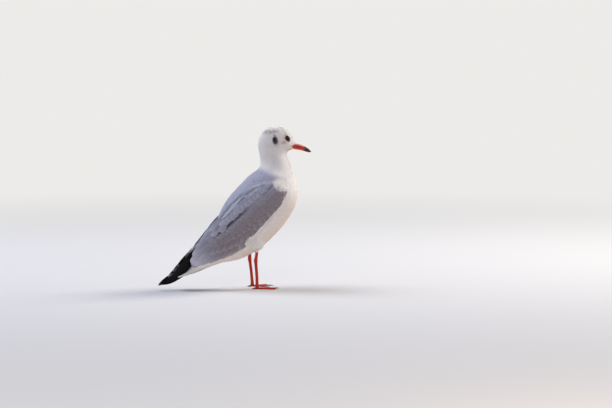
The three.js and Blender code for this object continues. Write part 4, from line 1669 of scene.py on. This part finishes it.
SECONDARIES = Row(
    FLIGHT, 12, ((104, -25), (125, -33), (147, -31), (172, -24.5), (194, -16.5), (206, -11)),
    (52, 70), (12, 13), (14, 6), (-2.0, -1.6), 0.6, 0.45)
TERTIALS = Row(
    TERTIAL, 6, ((206, -9), (210.5, -3.5), (208, 2), (199, 7.5), (185, 12), (167, 16.5)),
    (88, 62), (14, 15), (1, 12), (-1.5, -0.5), 1.4, 0.6)
GREATER_COVERTS = Row(
    FLIGHT, 15, ((36, -12.5), (73, -18.5), (104, -23), (132, -22), (160, -14), (184, -5)),
    (22, 40), (9, 12), (14, 5), (-1.3, -1.2), 0.9)
MEDIAN_COVERTS = Row(
    COVERT, 14, ((26, -7), (60, -10.5), (95, -12.5), (130, -9), (158, -1)),
    (14, 22), (9, 10.5), (14, 4), (-1.1, -1.0), 0.9)
LONG_SCAPULARS = Row(
    FLIGHT, 13, ((50, 23), (84, 23.5), (101, 22), (118, 20), (134, 18), (145, 16.5), (149, 20)),
    (18, 44), (10, 12), (12, 5), (0.4, 1.7), 2.4, 0.24)
FLANK_PLUMES = Row(
    PLUME, 13, ((80, -23.5), (96, -26), (109, -28), (117, -31), (121, -35), (127, -41)),
    (26, 32), (10, 12), (0, 8), (2.7, 2.3), 2.4, 0.0, 0.0, 0.1, 4.0)
PRIMARIES = Row(
    BLADE, 7, ((277, 0.5), (243, 4.5), (205, 9)),
    (127, 54), (13, 12), (-6, 6), (-1.7, 0.1), 0.4, 0.0, 0.1, 0.0)


@dataclass
class WingFeathers:
    """The feathers of both folded wings, and the plumes of the flanks that lap over them."""

    coat: Coat
    planform: Planform
    grey: Material
    black: Material
    white: Material
    white_tips: tuple = (0, 0, 0.9, 0.9, 0.9, 0, 0)  # how white the tip of each blade is

    def row(self, row: Row, side: Side, surface: Surface) -> Flock:
        """Lays one row of feathers on one side."""
        rng, count = self.coat.rng, row.count

        def between(pair: tuple, stray: float) -> Array:
            """Values from the first feather to the last, each a little off."""
            return np.linspace(pair[0], pair[1], count) + rng.normal(0, stray, count)

        tips = on_line(row.tips, count) + rng.normal(0, 0.25, (count, 2))
        lean = np.radians(between(row.lean, 0.5))
        lengths, widths = between(row.length, 0.6), between(row.width, 0.25) * MM
        roots = tips - np.stack([np.cos(lean), -np.sin(lean)], axis=1) * lengths[:, None]
        plan = roots[:, None] + STEPS * (tips - roots)[:, None]
        flock = self.coat.strung(
            row.vane, surface, self.planform.world(plan), np.array([0.0, side.value, 0.0]),
            lengths * MM, widths, between(row.level, 0.04) * MM, row.sink * MM, 0.2 * MM,
            -side.value * row.roll * MM, row.upright, row.fringe, winged=True)
        flock.deepen(row.base)
        return flock

    def scattered(self, side: Side, scapulars: bool) -> Flock:
        """Lays the small coverts, or the shoulder feathers above them, on one side."""
        outline = self.coat.outline
        along, up = self.planform.plan(outline.points)
        line = height_of(self.planform.SCAPULAR_LINE, along)
        median = height_of(self.planform.MEDIAN_LINE, along)
        wanted = (self.coat.wing > 0.35) & (outline.points[:, 1] * side.value > 0) & (along < 152)
        if scapulars:
            wanted &= (up > line + 7) & (along > 14)
            size = np.interp(along, (0, 60, 150), (11, 17, 26)) * MM
            level = 0.1 * MM
        else:
            wanted &= (up < line + 3) & (up > median + 2)
            size = np.interp(along, (0, 30, 150), (8.5, 11, 16)) * MM
            level = -0.9 * MM
        roots = outline.scatter(self.coat.rng, size * 0.33, wanted)
        lengths = roots.read(size) * self.coat.rng.uniform(0.92, 1.08, len(roots.places))
        flock = self.coat.lay(roots, COVERT, lengths, lengths * 0.66, 0.06, 3, level)
        flock.deepen(0.18)
        return flock

    def make(self) -> None:
        """Lays all feathers of both wings."""
        coat = self.coat
        for side in Side:
            coat.restart()
            rows = (SECONDARIES, GREATER_COVERTS, MEDIAN_COVERTS)
            flocks = [self.row(row, side, coat.outline) for row in rows]
            flocks.append(self.scattered(side, False))
            for flock in flocks:
                # painted shade under the edge of the shoulder feathers, over darker feather bases
                flock.colours *= 1 - 0.75 * coat.markings.shade(flock.points)[..., None]
            coat.piece("wing_coverts_" + side.word, flocks, "plumage_grey", self.grey)
            flocks = [self.row(row, side, coat.outline) for row in (TERTIALS, LONG_SCAPULARS)]
            flocks.append(self.scattered(side, True))
            coat.piece("scapulars_" + side.word, flocks, "plumage_grey", self.grey)
            plumes = self.row(FLANK_PLUMES, side, coat.outline)
            # painted shade, slightly warm, over the white of the flank plumes
            plumes.colours[:] = Markings.WHITE * PLUME_SHADE_TINT
            plumes.deepen(FLANK_PLUMES.base)
            coat.piece("flank_plumes_" + side.word, [plumes], "plumage_white", self.white)
            self.make_primaries(side)

    def make_primaries(self, side: Side) -> None:
        """Lays the black blades of one wing's point, with small white tips."""
        name = "primaries_" + side.word
        blades = self.row(PRIMARIES, side, solid(name))
        along = blades.vane.pattern()[0]
        tip = ramp(0.945, 0.965, along)[None, :, None] * np.reshape(self.white_tips, (-1, 1, 1))
        reached, up = self.planform.plan(blades.points)
        edge = np.interp(reached, (150, 209, 240), (19.4, 12.3, 6.6))
        strip = ramp(-0.2, 0.8, up - edge) * ramp(246, 236, reached) * ramp(176, 190, reached)
        hidden = ramp(190, 176, reached)[..., None]
        blades.colours[:] = Markings.BLACK
        blades.colours += hidden * (Markings.GREY - blades.colours)
        pale = np.maximum(tip, 0.9 * strip[..., None])
        blades.colours += pale * (Markings.WHITE - blades.colours)
        piece = self.coat.piece("blades_" + side.word, [blades], "plumage_black", self.black)
        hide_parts(name)


@dataclass
class TailFeathers:
    """The twelve white tail feathers, laid on both faces of the tail."""

    coat: Coat
    finish: Material
    pairs: int = 6
    width: float = 13 * MM
    root_spread: float = 7 * MM  # from the middle to the outermost root
    inset: float = 1.0 * MM

    def make(self) -> None:
        """Lays the feathers over and under the tail."""
        low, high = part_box("tail")
        surface = solid("tail")
        root = np.array([high.x - 4 * MM, 0, high.z - 6 * MM])
        end = np.array([low.x + self.inset, 0, low.z + 1.5 * MM])
        way = unit(end - root)
        above = np.array([way[2], 0, -way[0]])
        number = np.repeat(np.arange(self.pairs), 2)
        sign = np.tile([-1, 1], self.pairs)
        share = (number + 0.5) / self.pairs
        length = np.linalg.norm(end - root) - 1.5 * MM * share ** 2
        outwards = (sign * share)[:, None] * np.array([0, 1, 0])
        first = root + outwards * self.root_spread
        last = root + way * length[:, None] + outwards * (high.y - self.width * 0.42)
        lines = first[:, None] + STEPS * (last - first)[:, None]
        widths = np.full(len(sign), self.width)
        flocks = []
        for facing, order in ((above, number), (-above, self.pairs - 1 - number)):
            level = -0.22 * MM * order - 0.2 * MM
            flock = self.coat.strung(FLIGHT, surface, lines, facing, length, widths, level,
                                     0.3 * MM, 0.1 * MM, upright=2.0)
            flock.colours[:] = Markings.WHITE
            flocks.append(flock)
        self.coat.piece("tail_feathers", flocks, "plumage_white", self.finish)


# ---- bill, legs and feet

class Probe:
    """Measures a solid, so that a finer piece can be modelled over it."""

    REACH = 60 * MM

    def __init__(self, node: str) -> None:
        """Takes the solid of a node."""
        self.low, self.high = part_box(node)
        self.surface = solid(node)

    def radius(self, centre: Vector, way: Vector) -> float:
        """How far the solid reaches one way from a centre."""
        hit = self.surface.tree.ray_cast(centre + way * self.REACH, -way)
        return self.REACH - hit[3] if hit[0] is not None else 0.0

    def centred(self, place: Vector, way: Vector) -> Vector:
        """The place moved along one way to the middle of the solid, where both of its sides are met."""
        reach = [self.radius(place, sign * way) for sign in (1, -1)]
        return place + way * (reach[0] - reach[1]) / 2 if all(reach) else place

    def ring(self, centre: Vector, right: Vector, top: Vector, sides: int) -> Array:
        """The outline of the solid in a plane, as places round a centre."""
        ways = [right * cos + top * sin for cos, sin in zip(*circle(sides))]
        return np.array([centre + way * self.radius(centre, way) for way in ways])


@dataclass
class Bill:
    """Both halves of the bill, with nostrils, the hook of the tip and the angle of the chin."""

    finish: Material
    rings: int = 64
    sides: int = 40
    nostril: tuple = (0.30, 0.62)  # share of the length and of the height
    nostril_size: tuple = (2.1 * MM, 0.55 * MM)
    nostril_depth: float = 0.55 * MM
    nostril_slope: float = -0.12
    lap: float = 0.45 * MM  # how far the edges of the halves reach over each other

    def mandible(self, name: str) -> None:
        """Models one half over its solid."""
        probe = Probe(name)
        low, high, up = probe.low, probe.high, Vector((0, 0, 1))
        length = high.x - low.x
        rings = []
        for share in np.linspace(0, 1, self.rings):
            x = low.x + 0.15 * MM + (length - 0.35 * MM) * share ** 0.93
            centre = probe.centred(Vector((x, 0, (low.z + high.z) / 2)), up)
            rings.append(probe.ring(centre, Vector((0, 1, 0)), up, self.sides))
        rings = rounded(np.array(rings), 3, 1)
        middle, half = rings[..., 2].mean(1), np.ptp(rings[..., 2], axis=1) / 2
        share = (rings[..., 2] - middle[:, None]) / half[:, None]
        lap = -1 if name == "bill_upper" else 1
        rings[..., 2] += lap * self.lap * np.clip(share * lap, 0, 1) ** 2
        if name == "bill_upper":
            rings = self.with_nostrils(rings, low, length)
        finished_shape(name + "_horn", tube(rings), self.finish, (name,))

    def with_nostrils(self, rings: Array, low: Vector, length: float) -> Array:
        """Presses a slit into each side."""
        x = low.x + self.nostril[0] * length
        near = rings[np.abs(rings[:, 0, 0] - x).argmin()]
        z = near[:, 2].min() + self.nostril[1] * (near[:, 2].max() - near[:, 2].min())
        off_x = (rings[..., 0] - x) / self.nostril_size[0]
        off_z = (rings[..., 2] - z - self.nostril_slope * (rings[..., 0] - x)) / self.nostril_size[1]
        press = np.exp(-(off_x ** 4) - off_z ** 2) * self.nostril_depth
        rings[..., 1] -= np.sign(rings[..., 1]) * np.minimum(press, np.abs(rings[..., 1]) * 0.6)
        return rings

    def make(self) -> None:
        """Models the whole bill."""
        for name in BILL:
            self.mandible(name)


@dataclass
class Leg:
    """One leg from the feathers of the thigh to the ankle, with plates down its front."""

    side: Side
    finish: Material
    rings: int = 150
    sides: int = 20
    plate: float = 2.3 * MM  # height of one plate on the front
    relief: float = 0.16 * MM  # how far a plate stands out
    foot: float = 1.0 * MM  # height at which the leg ends, inside the foot
    buried: float = 9.0 * MM  # length hidden in the feathers of the thigh
    skin: float = 0.55 * MM  # thickness of the scaly skin over the solid

    def make(self) -> None:
        """Models the leg over its solid."""
        name = "leg_" + self.side.word
        probe = Probe(name)
        forward, across = Vector((1, 0, 0)), Vector((0, 1, 0))
        place = (probe.low + probe.high) / 2
        rings = []
        for z in np.linspace(probe.high.z - 0.3 * MM, probe.low.z + 0.2 * MM, self.rings):
            place = Vector((place.x, place.y, z))
            place = probe.centred(probe.centred(place, forward), across)
            rings.append(probe.ring(place, forward, across, self.sides))
        rings = rounded(np.array(rings), 3, 2)
        centres = rings.mean(1, keepdims=True)
        off = rings - centres
        front = np.clip(unit(off)[..., 0], 0, 1) ** 1.5
        back = np.clip(-unit(off)[..., 0], 0, 1) ** 1.5
        saw = (rings[..., 2] / self.plate) % 1.0
        grid = np.abs((rings[..., 2] / (0.55 * self.plate)) % 1.0 - 0.5)
        swell = self.relief * (front * (saw - 0.5) + 0.5 * back * (grid - 0.25))
        rings = rings + unit(off) * (self.skin + swell)[..., None]
        # the top is drawn in and back, so that it stays under the feathers of the thigh
        top = ramp(probe.high.z - 7 * MM, probe.high.z, rings[..., 2])[..., None]
        rings = rings - (0.3 * (rings - centres) + np.array([1.5 * MM, 0, 0])) * top
        first = rings[:1] + np.array([-1 * MM, 0, self.buried])
        last = rings[-1:] + np.array([0, 0, self.foot - rings[-1, 0, 2]])
        rings = np.concatenate([first, rings, last])
        finished_shape(name + "_skin", tube(rings), self.finish, (name,))


@dataclass(frozen=True)
class ToeCut:
    """The cut of a toe: its claw, half its width and half the pad under each joint."""

    name: str
    half: float
    joints: tuple  # places of the pads as shares of the length


@dataclass
class Foot:
    """One webbed foot with its hind toe and claws, flat on the ground."""

    side: Side
    finish: Material
    claw_finish: Material
    height: float = 3.1 * MM  # of a toe at its root
    joint: tuple = (3.1 * MM, 2.8 * MM, 4.4 * MM)
    web_hollow: float = 0.86  # how far the free edge of a web is drawn in
    web_reach: float = 0.94  # share of a toe that a web follows
    web_height: float = 0.75 * MM
    toes: tuple = (
        ToeCut("inner", 1.5 * MM, (0.46, 0.86)),
        ToeCut("middle", 1.7 * MM, (0.40, 0.66, 0.90)),
        ToeCut("outer", 1.5 * MM, (0.34, 0.54, 0.74, 0.92)),
    )
    hind: ToeCut = ToeCut("hind", 1.2 * MM, (0.75,))

    def __post_init__(self) -> None:
        """Finds the ankle over the foot."""
        middle = leg_end(self.side, False)
        self.ankle = np.array([middle.x, middle.y, 0.0])

    def claw_places(self, toe: ToeCut) -> Array:
        """The vertices of a claw's solid."""
        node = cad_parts["claw_" + self.side.word + "_" + toe.name]
        return np.array([tuple(vert.co) for vert in node.data.vertices])

    def reach(self, toe: ToeCut) -> tuple[Array, float, float]:
        """The direction of a toe, the distance to its claw, and the length of the claw."""
        off = self.claw_places(toe) - self.ankle
        way = unit(off.mean(0) * np.array([1, 1, 0]))
        return way, (off @ way).min(), (off @ way).max() - (off @ way).min()

    def add_toe(self, foot: BMesh, toe: ToeCut, root_height: float) -> None:
        """Adds one toe with pads under its joints and plates on its top."""
        way, length, _ = self.reach(toe)
        across = np.array([-way[1], way[0], 0])
        cos, sin = circle(16)
        rings = []
        for share in np.linspace(0, 1, 56):
            pad = max(math.exp(-((share - place) / 0.075) ** 2) for place in toe.joints)
            half = toe.half * (0.80 + 0.26 * pad) * (1.35 - 0.35 * min(share / 0.2, 1))
            half *= 1 - 0.35 * max((share - 0.93) / 0.07, 0) ** 2
            top = root_height * (1 - 0.36 * share) * (0.93 + 0.09 * pad)
            top += 0.12 * MM * ((share * length / (1.25 * MM)) % 1.0 - 0.5)
            wide = np.sign(cos) * np.abs(cos) ** 0.85 * half
            tall = top / 2 + sin * top / 2
            tall = np.where(sin < 0, np.maximum(tall, 0.12 * MM * (1 - pad)), tall)
            line = self.ankle + way * length * share
            rings.append(line + wide[:, None] * across + tall[:, None] * UP)
        add_to(foot, tube(np.array(rings)))

    def add_web(self, foot: BMesh, first: ToeCut, second: ToeCut) -> None:
        """Adds the folded web between two toes."""
        (way_a, far_a, _), (way_b, far_b, _) = self.reach(first), self.reach(second)
        tips = [way_a * far_a * self.web_reach, way_b * far_b * self.web_reach]
        pull = (tips[0] + tips[1]) / 2 * self.web_hollow
        web = bmesh.new()
        bmesh.ops.create_grid(web, x_segments=22, y_segments=18, size=0.5)
        for vert in web.verts:
            t, r = vert.co.x + 0.5, vert.co.y + 0.5
            edge = (1 - t) ** 2 * tips[0] + 2 * t * (1 - t) * pull + t ** 2 * tips[1]
            place = self.ankle + edge * (0.08 + 0.92 * r)
            fold = math.cos(t * math.pi * 10) * 0.20 * MM * r * math.sin(math.pi * t)
            sag = 0.25 * MM * math.sin(math.pi * t) * (1 - r)
            vert.co = place + (self.web_height + fold + sag) * UP
        bmesh.ops.recalc_face_normals(web, faces=web.faces)
        bmesh.ops.solidify(web, geom=web.faces[:], thickness=0.42 * MM)
        bmesh.ops.recalc_face_normals(web, faces=web.faces)
        add_to(foot, web)

    def make_claw(self, toe: ToeCut) -> None:
        """Models one claw, curved down to a worn point."""
        way, start, length = self.reach(toe)
        across = np.array([-way[1], way[0], 0])
        cos, sin = circle(12)
        top = self.claw_places(toe)[:, 2].max()
        rings = []
        for share in np.linspace(0, 1, 16):
            thick = (1 - share ** 1.4) ** 0.8 * 0.5 + 0.07
            half = toe.half * 0.95 * thick
            tall = top * 0.82 * thick
            middle = 0.55 * top * (1 - share ** 2) + 0.28 * MM
            line = self.ankle + way * (start - 0.6 * MM + (length + 0.5 * MM) * share)
            lift = np.maximum(middle + sin * tall, 0.02 * MM)
            rings.append(line + (cos * half)[:, None] * across + lift[:, None] * UP)
        name = "claw_" + self.side.word + "_" + toe.name
        finished_shape(name + "_horn", tube(np.array(rings)), self.claw_finish, (name,))

    def make(self) -> None:
        """Models the foot and its claws."""
        foot = bmesh.new()
        ball = bmesh.new()
        bmesh.ops.create_uvsphere(ball, u_segments=24, v_segments=16, radius=1)
        bmesh.ops.scale(ball, verts=ball.verts, vec=self.joint)
        bmesh.ops.translate(ball, verts=ball.verts, vec=(self.ankle[0], self.ankle[1], 0.4 * MM))
        for vert in ball.verts:
            vert.co.z = max(vert.co.z, 0.1 * MM)
        bmesh.ops.dissolve_degenerate(ball, edges=ball.edges, dist=0.001 * MM)
        add_to(foot, ball)
        for toe in self.toes:
            self.add_toe(foot, toe, self.height)
        self.add_toe(foot, self.hind, self.height * 1.1)
        for first, second in zip(self.toes, self.toes[1:]):
            self.add_web(foot, first, second)
        name = "foot_" + self.side.word
        finished_shape(name + "_skin", foot, self.finish, (name,))
        for toe in (*self.toes, self.hind):
            self.make_claw(toe)


# ---- studio

@dataclass
class Studio:
    """A plain pale floor, soft light and the camera."""

    azimuth: float = -14.0
    elevation: float = 5.0
    distance: float = 4.0
    lens: float = 134.5
    aim: tuple = (0.949, 0.517, -17.3 * MM)  # on the chart
    half_floor: float = 6.0
    backdrop: float = 7.0  # height of the paper behind the bird
    sweep: float = 3.0  # radius of the bend between floor and backdrop

    def back(self) -> Vector:
        """The direction from the bird to the camera."""
        turn, rise = math.radians(self.azimuth), math.radians(self.elevation)
        return Vector((math.sin(turn) * math.cos(rise), -math.cos(turn) * math.cos(rise), math.sin(rise)))

    def set_camera(self) -> None:
        """Places the camera at its viewing angle."""
        camera = linked("camera", bpy.data.cameras.new("camera"))
        camera.data.lens = self.lens
        camera.data.sensor_width = 36.0
        camera.location = Vector(CHART.at(*self.aim)) + self.distance * self.back()
        camera.rotation_euler = self.back().to_track_quat("Z", "Y").to_euler()
        bpy.context.scene.camera = camera

    def softbox(self, name: str, place: tuple, size: float, power: float, colour: str) -> None:
        """Adds a square soft light that faces the bird."""
        lamp = bpy.data.lights.new(name, "AREA")
        lamp.size = size
        lamp.energy = power
        lamp.color = linear(colour)
        light = linked(name, lamp)
        light.location = place
        aim = Vector(place) - Vector(CHART.at(0.5, 0.5))
        light.rotation_euler = aim.to_track_quat("Z", "Y").to_euler()
        light.visible_glossy = name != "bounce"

    def lay_floor(self) -> None:
        """Lays a floor that sweeps up into a backdrop far behind the bird."""
        paper = bmesh.new()
        bmesh.ops.create_grid(paper, x_segments=1, y_segments=1, size=self.half_floor)
        back = [edge for edge in paper.edges if all(vert.co.y > self.half_floor - 0.1 for vert in edge.verts)]
        raised = bmesh.ops.extrude_edge_only(paper, edges=back)
        verts = [item for item in raised["geom"] if isinstance(item, BMVert)]
        bmesh.ops.translate(paper, verts=verts, vec=(0, 0, self.backdrop))
        corner = {vert for vert in paper.verts if vert.co.y > self.half_floor - 0.1 and vert.co.z < 0.1}
        fold = [edge for edge in paper.edges if corner.issuperset(edge.verts)]
        bmesh.ops.bevel(paper, geom=fold, offset=self.sweep, segments=24, profile=0.5, affect="EDGES",
                        material=-1)
        mesh = bpy.data.meshes.new("floor")
        paper.to_mesh(mesh)
        paper.free()
        mesh.shade_smooth()
        mesh.materials.append(PaperFinish().make())
        linked("floor", mesh)

    def light(self) -> None:
        """Lights the bird from its front and from behind, and fills the near side softly."""
        self.softbox("key", (1.75, 0.3, 1.5), 0.7, 43.0, "#fff6ea")
        self.softbox("top", (-1.0, 0.8, 2.1), 1.3, 43.0, "#f2f5ff")
        self.softbox("fill", (-1.2, -2.8, 1.6), 2.2, 12.0, "#e9e8ff")
        self.softbox("bounce", (0.2, -1.5, 0.10), 0.5, 2.4, "#ffcf9e")
        world = bpy.data.worlds.new("studio")
        nodes = Nodes(world)
        soft = nodes.add("Background", {0: rgba("#dcdff2"), 1: 0.37})
        white = nodes.add("Background", {0: rgba("#ffffff"), 1: 1.0})
        both = nodes.add("MixShader", {0: nodes.shown_plainly(), 1: soft, 2: white})
        nodes.add("OutputWorld", {0: both})
        bpy.context.scene.world = world

    def make(self) -> None:
        """Sets the whole studio up."""
        self.set_camera()
        self.lay_floor()
        self.light()
        bpy.context.scene.view_settings.view_transform = "Standard"


def main() -> None:
    """Builds the bird and the studio round it."""
    body = Body()
    body.make_outline()
    bill_solid = solid(*BILL)
    eyes = [Eye(side) for side in Side]
    eye_finish = EyeFinish(centre=eyes[0].centre).make()
    for eye in eyes:
        eye.make(eye_finish)
    low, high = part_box("bill_upper")
    nostril = (low.x + NOSTRIL[0] * (high.x - low.x), low.z + NOSTRIL[1] * (high.z - low.z))
    bill_finish = BillFinish(root=low.x, tip=high.x, nostril=nostril, gape=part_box("bill_lower")[1].z).make()
    lids = GrainFinish("eyelid_skin", "#3d211c", (1800.0, 1800.0, 1800.0), 1.5, 0.5, 0.4).make()
    gape = Gape()
    markings = Markings(CHART)
    body.make_skin(markings, eyes, gape, bill_solid, (DownFinish().make(), lids, bill_finish))
    coat = Coat(body.outline, LieField(LIES, CHART), markings, Unwrap(CHART), body.wing, body.dorsal)
    white = FeatherFinish("feather_white_soft").make()
    grey = FeatherFinish("feather_grey_firm", roughness=0.7, furrow=0.2, streak=0.08).make()
    black = FeatherFinish("feather_black_firm", 0.6, sheen=0.01, gloss=0.1, furrow=0.25, streak=0.2).make()
    SmallFeathers(coat, eyes, gape, bill_solid, white, grey).make()
    WingFeathers(coat, Planform(CHART), grey, black, white).make()
    TailFeathers(coat, white).make()
    Bill(bill_finish).make()
    leg_finish = LegFinish().make()
    claw_finish = GrainFinish("claw_horn_worn", "#241c1a", (400.0, 2200.0, 2200.0), 1.9, 0.38, 0.3).make()
    for side in Side:
        Leg(side, leg_finish).make()
        Foot(side, leg_finish, claw_finish).make()
    Studio().make()


if __name__ == "__main__":
    main()
